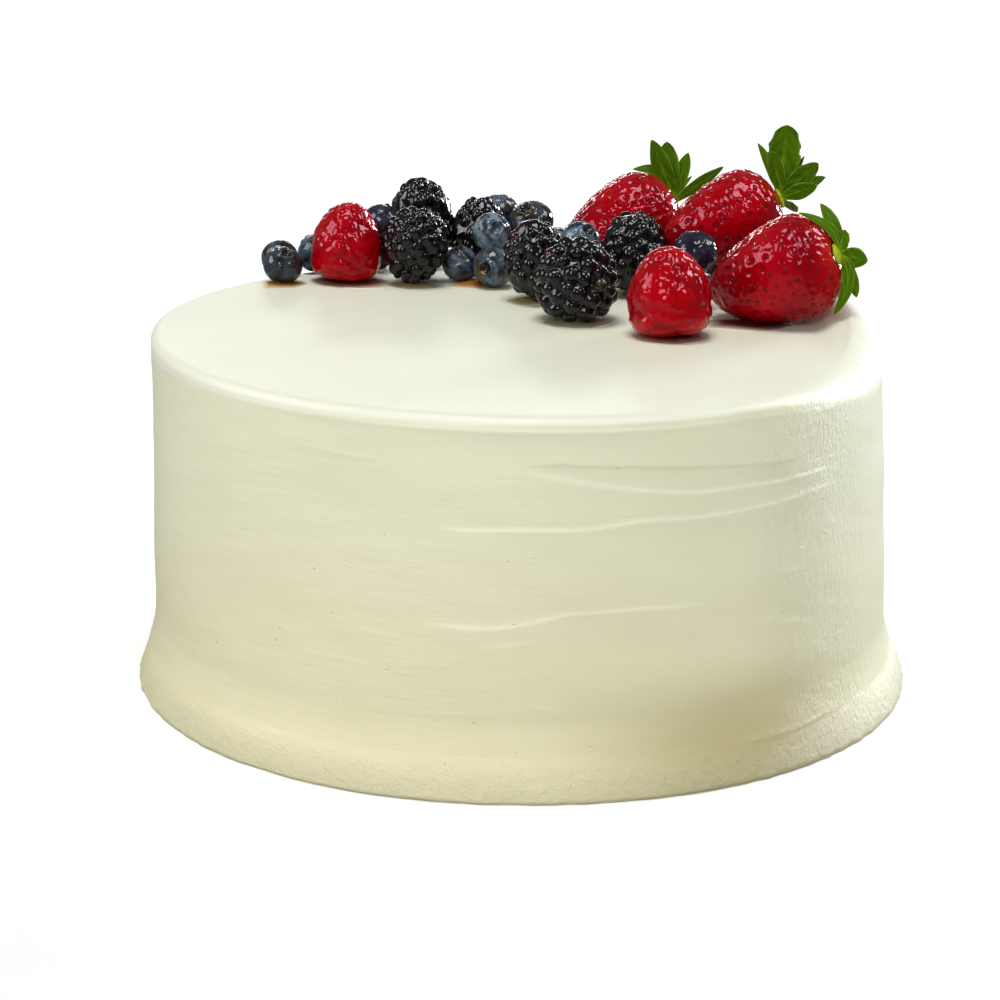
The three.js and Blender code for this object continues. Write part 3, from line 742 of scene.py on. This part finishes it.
for node, row in RASPBERRIES.items():
    points, faces, local, dome, nearest = drupelet_fruit(
        node, raspberry_profile, row, RASPBERRY_DRUPELETS, RASPBERRY_DEPTH
    )
    piece = add_piece("glazed_" + node, points, faces, raspberry_flesh, [node])
    shade = np.random.default_rng(7).uniform(0, 1, RASPBERRY_DRUPELETS)[nearest]
    colours = blend(linear("#920008"), linear("#ae000a"), shade)
    colours = blend(colours, linear("#e84a1c"), 0.9 * (waves(local, 14, 31) - 0.45))
    # painted shade: the grooves between the drupelets are painted darker
    colours = blend(colours, linear("#72000c"), 1.3 * (0.8 - dome))
    paint(piece, colours)

# ---------------------------------------------------------------- the brambles
# Six ripe brambles, near black, of fat round drupelets with deep grooves. Glaze lies in some of
# the grooves and joins the drupelets into smooth grey-white patches where it catches the light.

# Node: widest radius, length, heading and rise of the tip, and how much glaze lies on it.
BRAMBLES = {
    "bramble_1": (10.1, 23.2, 200, -80, -0.1),
    "bramble_2": (12.4, 24.0, 250, 76, -0.15),
    "bramble_3": (9.9, 23.8, 215, 74, 0.1),
    "bramble_4": (10.1, 25.4, 200, 82, 0.3),
    "bramble_5": (8.9, 24.0, 30, 86, 0.1),
    "bramble_6": (10.5, 28.0, 165, 84, 0.0),
}
BRAMBLE_DRUPELETS = 68
BRAMBLE_DEPTH = 0.24  # of the grooves, as a share of the radius


def bramble_profile(share):
    """A power of the half ellipse, a little narrower towards the tip and cut off at 1."""
    blunt = np.abs(4 * share * (1 - share)) ** 0.42
    return np.minimum(1, 1.06 * blunt * (1.04 - 0.2 * share))


# Bramble flesh: black-purple drupelets whose skin is as shiny as wet plastic under the glaze.
bramble_flesh = rippled_skin(
    "glazed bramble flesh",
    {"Scale": 900, "Detail": 3},  # ripples of 1.1 mm in the glaze
    strength=0.2,
    depth=0.0004,
    finish={
        "Roughness": 0.5,
        "Specular IOR Level": 0.0,
        "Coat Weight": 1,
        "Coat Roughness": 0.03,
        "Coat IOR": 1.36,
    },
)

for node, row in BRAMBLES.items():
    points, faces, local, dome, nearest = drupelet_fruit(
        node, bramble_profile, row, BRAMBLE_DRUPELETS, BRAMBLE_DEPTH
    )
    piece = add_piece("glazed_" + node, points, faces, bramble_flesh, [node])
    rng = np.random.default_rng(int(node.split("_")[1]) + 3)
    shade = rng.uniform(0, 1, BRAMBLE_DRUPELETS)[nearest]
    colours = blend(linear("#070709"), linear("#110e11"), shade)
    colours = blend(colours, linear("#330c17"), 20 * (shade - 0.95))
    colours = blend(colours, linear("#33230e"), 20 * (0.03 - shade))
    # painted shade: the grooves between the drupelets are painted darker
    colours = blend(colours, linear("#020202"), 1.1 * (0.7 - dome))
    paint(piece, colours)

# ---------------------------------------------------------------- the strawberries
# Three glazed strawberries lying on their sides with their stem ends up to the right. The seeds
# sit each in its own pit, about 4 mm apart, and the calyx in a hollow at the stem end.

# Node: widest radius, length, heading and rise of the point.
STRAWBERRIES = {
    "strawberry_1": (14.9, 40.0, 207, -22),
    "strawberry_2": (14.8, 39.0, 158, -22),
    "strawberry_3": (13.2, 37.6, 185, -23),
}
STRAWBERRY_GRID = (190, 230)  # rings along the fruit, and steps round it
SHOULDER = 0.3  # share of the length at which the fruit is widest
STEM_DIMPLE = 1.6  # depth of the hollow at the stem end
DIMPLE_RADIUS = 5
LUMPINESS = 0.022  # of the whole fruit, as a share of its size
PUFFINESS = 0.15  # height of the soft bumps between the pits
SEED_SPACING = 3.8
SEED_GRID = (3, 6)  # rings along a husk, and steps round it
SEED_SIZE = (0.3, 0.22, 0.5)  # half width, half thickness and half length
PIT_RADIUS = 0.7
PIT_DEPTH = 0.26
SWELLING_RADIUS = 1.5  # of the flesh that stands up round each pit
SWELLING_HEIGHT = 0.1


def strawberry_profile(share):
    """A quarter ellipse up to the shoulder, then a blunt cone: one minus a power of the share
    of the rest, to a power near a half."""
    shoulder = np.sqrt(np.maximum(0, 1 - (1 - np.minimum(share, SHOULDER) / SHOULDER) ** 2))
    rest = np.clip((share - SHOULDER) / (1 - SHOULDER), 0, 1)
    return np.where(share < SHOULDER, shoulder, (1 - rest**1.8) ** 0.56)


def seed_places(radius, length, seed):
    """Share of the length and angle of each seed: rings one spacing apart along the skin, with
    seeds one spacing apart on each ring, every second ring turned half a spacing."""
    share = np.linspace(0, 1, 400)
    out, along = radius * strawberry_profile(share), length * share
    arc = np.concatenate([[0], np.cumsum(np.hypot(np.diff(out), np.diff(along)))])
    rings = np.arange(1.2 * SEED_SPACING, arc[-1] - 0.4 * SEED_SPACING, 0.87 * SEED_SPACING)
    rng = np.random.default_rng(seed)
    shares, turns = [], []
    for number, place_on_arc in enumerate(rings):
        ring_share = np.interp(place_on_arc, arc, share)
        ring_radius = np.interp(place_on_arc, arc, out)
        count = max(3, round(2 * np.pi * ring_radius / SEED_SPACING))
        turns.append(2 * np.pi * (np.arange(count) + 0.5 * (number % 2)) / count)
        shares.append(np.full(count, ring_share))
    shares, turns = np.concatenate(shares), np.concatenate(turns)
    shares = shares + rng.normal(0, 0.22 * SEED_SPACING / length, len(shares))
    turns = turns + rng.normal(0, 0.07, len(turns))
    return np.clip(shares, 0.02, 0.985), turns


# Strawberry skin: deep red flesh that shows through a clear skin, glossy with glaze.
strawberry_skin = rippled_skin(
    "glazed strawberry skin",
    {"Scale": 500, "Detail": 2},  # ripples of 2 mm in the glaze
    strength=0.25,
    depth=0.0008,
    finish={
        "Roughness": 0.08,
        "Specular IOR Level": 0.16,
        "Specular Tint": (1, 0.35, 0.6, 1),
        "Subsurface Weight": 0.1,
        "Subsurface Radius": (1.0, 0.15, 0.1),
        "Subsurface Scale": 0.002,
        "Coat Weight": 0.25,
        "Coat Roughness": 0.04,
        "Coat IOR": 1.36,
    },
)

# Seed husks: dull and dry, dark red to brown where the flesh colours them through the glaze.
seed_husk, tree = new_material("strawberry seed husk")
place = add_node(tree, "ShaderNodeTexCoord")
husk_noise = add_node(
    tree,
    "ShaderNodeTexNoise",
    {"Scale": 500, "Detail": 2},  # patches of 2 mm, so that whole husks differ
    {"Vector": place.outputs["Object"]},
)
husk_colour = add_node(
    tree,
    "ShaderNodeMix",
    {"data_type": "RGBA", 6: (*linear("#300406"), 1), 7: (*linear("#70180c"), 1)},
    {"Factor": husk_noise.outputs["Fac"]},
)
shader = add_node(
    tree,
    "ShaderNodeBsdfPrincipled",
    {"Roughness": 0.6, "Specular IOR Level": 0.15},
    {"Base Color": husk_colour.outputs[2]},
)
add_node(tree, "ShaderNodeOutputMaterial", None, {"Surface": shader.outputs[0]})


def seed_shells(places, outward, along):
    """Points of a small closed husk at each of the given places: an ellipsoid, its length along
    the fruit and its thickness outwards."""
    across = unit(np.cross(outward, along))
    lengthways = np.cross(across, outward)
    share, turned = fruit_grid(*SEED_GRID)
    width, thickness, half = SEED_SIZE
    ball = fruit_hull(blueberry_profile, 1, 2, share, turned).reshape(-1, 3)
    ball = np.concatenate([[(0, 0, -1)], ball, [(0, 0, 1)]])
    axes = np.stack([across * width, outward * thickness, lengthways * half], axis=1)
    return places[:, None, :] + ball @ axes


def turned_normals(profile, radius, length, share, turned):
    """Outward directions of the hull, from the slope of its profile."""
    step = 1e-3
    after, before = np.clip(share + step, 0, 1), np.clip(share - step, 0, 1)
    slope = radius * (profile(after) - profile(before)) / (length * (after - before))
    return unit(np.stack([np.cos(turned), np.sin(turned), -slope], axis=-1))


def join(parts):
    """One mesh of several, each given as its points and faces."""
    points, faces, start = [], [], 0
    for part_points, part_faces in parts:
        points.append(part_points)
        faces += [[corner + start for corner in face] for face in part_faces]
        start += len(part_points)
    return np.concatenate(points), faces


husk_points = []
strawberry_frames = {}
for node, (radius, length, heading, rise) in STRAWBERRIES.items():
    number = int(node.split("_")[1])
    share, turned = fruit_grid(*STRAWBERRY_GRID)
    rings = fruit_hull(strawberry_profile, radius, length, share, turned)
    normals = turned_normals(strawberry_profile, radius, length, share, turned)
    pit_share, pit_turned = seed_places(radius, length, number)
    pits = fruit_hull(strawberry_profile, radius, length, pit_share, pit_turned)
    nearest = np.min([np.linalg.norm(rings - pit_middle, axis=-1) for pit_middle in pits], axis=0)
    in_pit = np.exp(-((nearest / PIT_RADIUS) ** 2))
    swelling = np.exp(-(((nearest - SWELLING_RADIUS) / 0.5) ** 2))
    puffed = SWELLING_HEIGHT * swelling + PUFFINESS * waves(rings, 3.2, number + 50)
    near_stem = (share < SHOULDER) * hump(np.hypot(rings[..., 0], rings[..., 1]), DIMPLE_RADIUS)
    sunk = (PIT_DEPTH * in_pit - puffed) * (1 - near_stem)
    rings = rings - normals * sunk[..., None]
    rings[..., 2] += STEM_DIMPLE * near_stem
    rings *= 1 + LUMPINESS * waves(rings, 26, number + 20)[..., None]
    local, faces = closed_skin(rings, (0, 0, STEM_DIMPLE - length / 2), (0, 0, length / 2))
    turn = tip_turn(heading, rise)
    points = local @ turn.T
    move = seat(points, node)
    points += move
    strawberry_frames[node] = (turn, move)
    piece = add_piece("glazed_" + node, points, faces, strawberry_skin, [node])

    pale = hump(local[:, 2] + length / 2, 6) * 0.55
    colours = blend(linear("#84000a"), linear("#ae000e"), 0.5 + 0.6 * waves(local, 18, number))
    colours = blend(colours, linear("#c01c10"), pale + 0.6 * (waves(local, 9, number + 2) - 0.6))
    # painted shade: the flesh is painted darker in each seed pit
    colours = blend(colours, linear("#480004"), 0.5 * with_ends(in_pit, 0, 0))
    paint(piece, colours)

    pit_normals = turned_normals(strawberry_profile, radius, length, pit_share, pit_turned)
    pits = pits * (1 + LUMPINESS * waves(pits, 26, number + 20))[:, None]
    pits = pits - pit_normals * (PIT_DEPTH - 0.02)
    husks = seed_shells(pits, pit_normals, (0, 0, 1))
    husk_points.extend(husks @ turn.T + move)

_, husk_faces = closed_skin(np.zeros((*SEED_GRID, 3)), (0, 0, 0), (0, 0, 0))
points, faces = join((husk, husk_faces) for husk in husk_points)
add_piece("strawberry_seeds", points, faces, seed_husk, [])

# ---------------------------------------------------------------- the strawberries' calyces
# Fresh green sepals joined at a yellow-green cap where the stalk was pinched off. They stand up
# or bend back over the fruit, thin and a little wavy, with a pale rib and a few teeth at the tip.

CAP_RADIUS = 3.1
CAP_THICKNESS = 1.8
CAP_GRID = (10, 24)  # rings along the cap's axis, and steps round it
LEAF_THICKNESS = 0.5  # along the rib, and a third of that at the edges
LEAF_LIFT = 2  # how far a leaf first stands out from the fruit's stem end
LEAF_GAP = 0.9  # least distance of a leaf from the fruit
LEAF_PUSH = 0.2  # step by which a leaf is moved off the fruit
LEAF_PUSHES = 40  # the most steps that it may need
LEAF_STALK = 1.1  # width of a leaf where it leaves the cap
LEAF_DISH = 0.12  # how far the rib lies under the edges, as a share of the half width
LEAF_CRINKLE = 0.05  # height of the creases across it, as a share of the half width
LEAF_WAVE = 0.06  # how far the edges wave to and fro, as a share of the width
RIB_HEIGHT = 0.18
RIB_WIDTH = 0.35
LEAF_RINGS = 40  # sections along a leaf
LEAF_ACROSS = 13  # points across each of its faces
FIXED_RINGS = 6  # rings at the cap that stay where they are

# For each calyx its leaves: offset of the tip from the cap (x, y, z), the full width, how far
# the leaf is turned about its own length, in degrees, and how deep its teeth are.
CALYX_LEAVES = {
    "strawberry_1": [
        (-6.6, -1, 19.8, 5.6, 15, 0.0),
        (-1.7, 2, 18.9, 6.4, -10, 0.05),
        (-12.6, -3, 10.8, 4.6, 30, 0.0),
        (5.2, 3, 15.4, 4.2, -20, 0.0),
        (16.1, 2, 11.3, 3.4, 20, 0.0),
        (7, 11, 7, 5, 60, 0.0),
        (-2, 13, 5, 5, 80, 0.0),
    ],
    "strawberry_2": [
        (-10.9, 2, 11, 2.0, 20, 0.0),
        (-4.5, 6, 13, 3.4, 10, 0.0),
        (2, 1, 6.5, 3.8, -20, 0.0),
        (8.4, -1, -2, 5.4, 10, 0.0),
        (5.6, -2, -12, 3.4, 10, 0.0),
        (-0.6, -2, -17, 3, 20, 0.0),
        (4, 11, 3, 5, 60, 0.0),
    ],
    "strawberry_3": [
        (-6.5, 4, 15.7, 2.4, 10, 0.0),
        (1.6, 0, 21.6, 9.8, 0, 0.12),
        (-2.9, -3, 14.2, 4.4, 0, 0.0),
        (7.4, 3, 12.1, 1.8, 20, 0.0),
        (11.2, 0, 10.4, 6, 10, 0.05),
        (14.2, 5, 5.6, 5, 30, 0.0),
        (10.8, -3, 4.1, 4.4, 10, 0.0),
        (5.6, 9, -5.3, 6, 60, 0.0),
    ],
}


def turned_about(vectors, axes, degrees):
    """Vectors turned about unit axes that are square to them."""
    turn = np.radians(degrees)
    return vectors * np.cos(turn) + np.cross(axes, vectors) * np.sin(turn)


def leaf_rings(leaf, outward, cap, berry):
    """A leaf as rings of a thin closed section carried along a curve of three points: the cap,
    a point that leaves the fruit outwards, and the tip. The width is a power of the share of
    the length times a lower power of the rest, on a narrow stalk, with teeth near the tip. The
    section is dished, wavy, and ridged at the rib, and each one is moved outwards step by step
    until it is clear of the fruit. Gives the rings, and at each of their points its share of
    the length and its place across, from -1 to 1."""
    *tip, width, turn, teeth = leaf
    tip = np.array(tip, float)
    rise = tip @ outward
    lift = max(LEAF_LIFT, 0.5 * rise) if rise > 0 else LEAF_LIFT - 0.4 * rise
    bend = 0.5 * (tip - rise * outward) + lift * outward
    share = np.linspace(0, 1, LEAF_RINGS)[:, None]
    spine = 2 * share * (1 - share) * bend + share**2 * tip
    along = unit(2 * (1 - 2 * share) * bend + 2 * share * tip)
    across = unit(np.cross(along, (0, -1, 0)))
    across = turned_about(across, along, turn)
    face = unit(np.cross(across, along))
    blunt = 0.8 - 2 * teeth
    belly = share**1.1 * (1 - share) ** blunt
    belly /= belly.max()
    notch = teeth * np.abs(np.sin(share * 5.5 * np.pi)) * (share > 0.6)
    half = width / 2 * belly * (1 - notch) + LEAF_STALK / 2 * (1 - share) + 0.05
    side = np.concatenate([np.linspace(-1, 1, LEAF_ACROSS), np.linspace(1, -1, LEAF_ACROSS)])
    front = np.concatenate([np.ones(LEAF_ACROSS), -np.ones(LEAF_ACROSS)])
    thick = LEAF_THICKNESS / 2 * front * (0.35 + 0.65 * (1 - side**2))
    wave = LEAF_WAVE * width * np.sin(3 * np.pi * share) * -side
    dish = -LEAF_DISH * half * (1 - side**2)
    crinkle = LEAF_CRINKLE * half * np.cos(14 * share + 6 * np.abs(side))
    rib = RIB_HEIGHT * np.exp(-((side * half / RIB_WIDTH) ** 2)) * (1 - share)
    height = thick + wave + dish + crinkle + rib
    rings = (
        spine[:, None]
        + across[:, None] * (side * half)[..., None]
        + face[:, None] * height[..., None]
    )
    push = np.zeros(LEAF_RINGS)
    turn_back, middle, radius, length = berry
    for _ in range(LEAF_PUSHES):
        placed = rings + (push[:, None] * outward)[:, None] + cap - middle
        own = placed @ turn_back
        inside_share = np.clip(0.5 + own[..., 2] / length, 0, 1)
        limit = radius * strawberry_profile(inside_share) + LEAF_GAP
        beyond = np.abs(own[..., 2]) > length / 2 + LEAF_GAP
        inside = (np.hypot(own[..., 0], own[..., 1]) < limit) & ~beyond
        push += LEAF_PUSH * (inside.any(axis=1) & (np.arange(LEAF_RINGS) >= FIXED_RINGS))
    push = np.convolve(np.pad(push, 2, mode="edge"), np.ones(5) / 5, mode="valid")
    rings = rings + (push[:, None] * outward)[:, None] + cap
    return rings, share + 0 * side, side + 0 * share


# Sepal: a matt green leaf, lighter along its rib, with pale edges that are partly its own paler
# margin and partly a painted rim highlight, yellow-green at its root.
sepal, tree = new_material("strawberry sepal")
place = add_node(tree, "ShaderNodeTexCoord")
tint = add_node(tree, "ShaderNodeAttribute", {"attribute_name": "tint"})
cells = add_node(
    tree,
    "ShaderNodeTexVoronoi",
    {"Scale": 1300},  # mesh of veins 0.8 mm apart
    {"Vector": place.outputs["Object"]},
)
vein_bump = add_node(
    tree,
    "ShaderNodeBump",
    {"Strength": 0.4, "Distance": 0.0002},
    {"Height": cells.outputs["Distance"]},
)
shader = add_node(
    tree,
    "ShaderNodeBsdfPrincipled",
    {"Roughness": 0.5, "Specular IOR Level": 0.04},
    {"Base Color": tint.outputs["Color"], "Normal": vein_bump.outputs[0]},
)
add_node(tree, "ShaderNodeOutputMaterial", None, {"Surface": shader.outputs[0]})

for number, (fruit, leaves) in enumerate(CALYX_LEAVES.items(), start=1):
    radius, length, heading, rise = STRAWBERRIES[fruit]
    turn, middle = strawberry_frames[fruit]
    outward = -turn[:, 2]
    cap = middle + outward * (length / 2 + CAP_THICKNESS / 2 + 2 * CLEARANCE - STEM_DIMPLE)
    parts, all_colours = [], []
    for leaf in leaves:
        rings, share, side = leaf_rings(leaf, outward, cap, (turn, middle, radius, length))
        parts.append(closed_skin(rings, rings[0].mean(axis=0), rings[-1].mean(axis=0)))
        along = with_ends(share, 0, 1)
        from_rib = np.abs(with_ends(side, 0, 0))
        veined = 0.5 + 0.5 * np.sin(26 * along + 9 * from_rib)
        colours = blend(linear("#3e6200"), linear("#587a04"), veined * 0.6)
        colours = blend(colours, linear("#84a030"), 0.8 * hump(from_rib, 0.14) * (1 - along))
        # pale edges: partly the sepal's own paler margin, partly a painted rim highlight
        colours = blend(colours, linear("#9cae4a"), 4 * (from_rib - 0.9))
        colours = blend(colours, linear("#90a81e"), 0.8 * hump(along, 0.26))
        all_colours.append(colours)
    share, turned = fruit_grid(*CAP_GRID)
    dome = fruit_hull(blueberry_profile, CAP_RADIUS, CAP_THICKNESS, share, turned)
    dome *= (1 + 0.08 * np.cos(7 * turned))[..., None]
    points, faces = closed_skin(dome, (0, 0, -CAP_THICKNESS / 2), (0, 0, CAP_THICKNESS / 2))
    parts.append((points @ turn.T + cap, faces))
    all_colours.append(blend(linear("#b3b82e"), linear("#6f8a22"), waves(points, 2, number)))
    points, faces = join(parts)
    node = f"calyx_{number}"
    piece = add_piece(f"sepals_{number}", points, faces, sepal, [node])
    paint(piece, np.concatenate(all_colours))

# ---------------------------------------------------------------- the glaze films and their painted shade
# Apple glaze that ran off the fruit and set on the cream round its feet: a thin film, thickest
# against the fruit, amber under the blueberries. The dark red under the red fruit is partly glaze
# stained red and partly painted shade for their contact shadows, and the pale brown under the
# brambles is painted shade.

# Middle of each film from the middle of the top, half its width and half its depth, and its
# colour where it is thick.
SYRUP_AND_SHADE = [
    (-69.8, 55.2, 7.4, 6.6, "#a87818"),
    (-11.3, 60.0, 8.5, 6.5, "#a06418"),
    (-30.6, 57.6, 7.6, 7.0, "#a89460"),
    (-49.4, 60.6, 12.2, 9.8, "#7c0c12"),
    (66.5, 10.0, 15.0, 8.0, "#4c0406"),
    (42.3, -7.0, 10.8, 9.8, "#861a16"),
    (4.0, 37.0, 6.5, 6.0, "#a89460"),
    (17.3, 10.0, 9.5, 9.8, "#a09070"),
]
SYRUP_HEIGHT = 1.1  # in the middle of a film
SYRUP_DEPTH = 0.3  # how far a film reaches into the cream
FILM_STEPS = 96  # round a film
FILM_RINGS = 16  # from its middle to its edge

# Set apple glaze: a wet shine over the cream that it has stained, pale where it runs out thin. Its
# painted colour is also painted shade: the contact shadows under the red fruit and the brambles.
syrup_and_shade, tree = new_material("set apple glaze and painted shade")
place = add_node(tree, "ShaderNodeTexCoord")
tint = add_node(tree, "ShaderNodeAttribute", {"attribute_name": "tint"})
thickness = add_node(
    tree,
    "ShaderNodeTexNoise",
    {"Scale": 300, "Detail": 2},  # swirls of 3 mm
    {"Vector": place.outputs["Object"]},
)
swirl = add_node(
    tree,
    "ShaderNodeBump",
    {"Strength": 0.2, "Distance": 0.001},
    {"Height": thickness.outputs["Fac"]},
)
shader = add_node(
    tree,
    "ShaderNodeBsdfPrincipled",
    {"Roughness": 0.4, "Coat Weight": 0.3, "Coat Roughness": 0.15, "Coat IOR": 1.42},
    {"Base Color": tint.outputs["Color"], "Normal": swirl.outputs[0]},
)
add_node(tree, "ShaderNodeOutputMaterial", None, {"Surface": shader.outputs[0]})

# Each film is an oval with a wavy edge. Its height over the cream falls with the share of the
# way to that edge: one minus the square of the share, to the power 1.5.
parts, all_colours = [], []
turned = 2 * np.pi * np.arange(FILM_STEPS) / FILM_STEPS
share = np.linspace(0.05, 1, FILM_RINGS)[:, None]
from_middle = with_ends(np.concatenate([share, share[::-1]]).repeat(FILM_STEPS), 0, 0)
for number, (x, y, wide, deep, colour) in enumerate(SYRUP_AND_SHADE):
    edge = 1 + 0.08 * np.sin(2 * turned + number) + 0.05 * np.sin(5 * turned + 2 * number)
    edge = edge + 0.02 * np.sin(11 * turned + number)
    film_x = x + share * wide * edge * np.cos(turned)
    film_y = y + share * deep * edge * np.sin(turned)
    surface = top_height(film_x, film_y)
    film = SYRUP_HEIGHT * (1 - share**2) ** 1.5
    above = np.stack([film_x, film_y, surface + film], axis=-1)
    below = np.stack([film_x, film_y, surface - SYRUP_DEPTH], axis=-1)
    rings = np.concatenate([above, below[::-1]])
    points, faces = closed_skin(rings, rings[0].mean(axis=0), rings[-1].mean(axis=0))
    parts.append((points - footprint, [face[::-1] for face in faces]))
    # amber glaze under the blueberries; red-stained glaze and painted shade under the red fruit;
    # painted shade under the brambles; each fading to the cream's colour at the edge
    all_colours.append(blend(linear(colour), linear("#e6e2c8"), 1.1 * from_middle**4 - 0.1))
points, faces = join(parts)
piece = add_piece("syrup_and_shade", points, faces, syrup_and_shade, [])
paint(piece, np.concatenate(all_colours))

# ---------------------------------------------------------------- the studio
# A white floor that runs out of sight, a dim even room, soft daylight from above and from the
# sides, windows that show in the glaze, and the camera a little above the level of the top.

floor_white, tree = new_material("white paper sweep")
shader = add_node(
    tree,
    "ShaderNodeBsdfPrincipled",
    {
        "Base Color": (*linear("#f0f0f0"), 1),
        "Roughness": 0.9,
        "Emission Color": (1, 1, 1, 1),
        "Emission Strength": 0.06,
    },
)
add_node(tree, "ShaderNodeOutputMaterial", None, {"Surface": shader.outputs[0]})
floor_mesh = bpy.data.meshes.new("floor")
REACH = 6  # of the floor from its middle, in metres
corners = [(-REACH, -REACH, 0), (REACH, -REACH, 0), (REACH, REACH, 0), (-REACH, REACH, 0)]
floor_mesh.from_pydata(corners, [], [(0, 1, 2, 3)])
floor_mesh.materials.append(floor_white)
floor = bpy.data.objects.new("floor", floor_mesh)
bpy.context.scene.collection.objects.link(floor)
floor.visible_glossy = False

world = bpy.data.worlds.new("dim white room")
world.use_nodes = True
background = world.node_tree.nodes["Background"]
background.inputs["Color"].default_value = (1, 1, 1, 1)
background.inputs["Strength"].default_value = 0.2
bpy.context.scene.world = world

WINDOWS_FACE = (0.02, 0, 0.08)  # the place among the fruit that the windows are turned to


def aim(eye, target):
    """The matrix that puts an object at eye, looking at target, with its top upwards."""
    back = (Vector(eye) - Vector(target)).normalized()
    right = Vector((0, 0, 1)).cross(back).normalized()
    frame_axes = Matrix((right, back.cross(right), back)).transposed()
    return Matrix.Translation(eye) @ frame_axes.to_4x4()


def add_window(name, eye, size, strength):
    """A rectangular window of the given radiance, which is seen mirrored in the glaze alone:
    the suns stand for the light that it sheds."""
    light = bpy.data.lights.new(name, "AREA")
    light.shape = "RECTANGLE"
    light.size, light.size_y = size
    light.energy = strength * np.pi * size[0] * size[1]
    lamp = bpy.data.objects.new(name, light)
    lamp.visible_diffuse = False
    lamp.matrix_world = aim(eye, WINDOWS_FACE)
    bpy.context.scene.collection.objects.link(lamp)


def add_sky(name, eye, strength, spread, colour):
    """A soft light from far away, so that the floor is as bright in the distance as near by."""
    light = bpy.data.lights.new(name, "SUN")
    light.energy = strength * np.pi
    light.angle = np.radians(spread)
    light.color = colour
    lamp = bpy.data.objects.new(name, light)
    lamp.matrix_world = aim(eye, (0, 0, 0))
    bpy.context.scene.collection.objects.link(lamp)


add_sky("overhead", (-0.05, -0.2, 1), 0.71, 26, (0.97, 0.99, 1))
add_sky("front", (-0.24, -1, 0.5), 0.24, 16, (1, 1, 0.98))
add_sky("left rim", (-1, -0.2, 0.3), 0.12, 16, (1, 1, 0.98))
add_sky("right rim", (0.73, 0.68, 0.18), 0.92, 16, (0.9, 0.97, 1.08))
add_window("right front window", (0.42, -0.48, 0.72), (0.16, 0.24), 14)
add_window("right window", (0.68, 0.2, 0.7), (0.3, 0.36), 14)
add_window("left window", (-0.77, -0.17, 0.6), (0.5, 0.5), 8)
add_window("back light", (-0.05, 0.9, 0.38), (0.8, 0.05), 12)

SENSOR = 36  # width in millimetres
PIXELS = 1000  # width of the image
FOCAL_PIXELS = 2338.5
CAMERA_EYE = np.array((-3.834, -638.640, 224.535)) - footprint
CAMERA_TARGET = np.array((-3.834, 0, 47.964)) - footprint
CAMERA_ROLL = 0.353  # degrees
camera_data = bpy.data.cameras.new("camera")
camera_data.sensor_width = SENSOR
camera_data.lens = FOCAL_PIXELS / PIXELS * SENSOR
camera = bpy.data.objects.new("camera", camera_data)
roll = Matrix.Rotation(np.radians(CAMERA_ROLL), 4, "Z")
camera.matrix_world = aim(CAMERA_EYE * 0.001, CAMERA_TARGET * 0.001) @ roll
bpy.context.scene.collection.objects.link(camera)
bpy.context.scene.camera = camera
bpy.context.scene.view_settings.view_transform = "Standard"
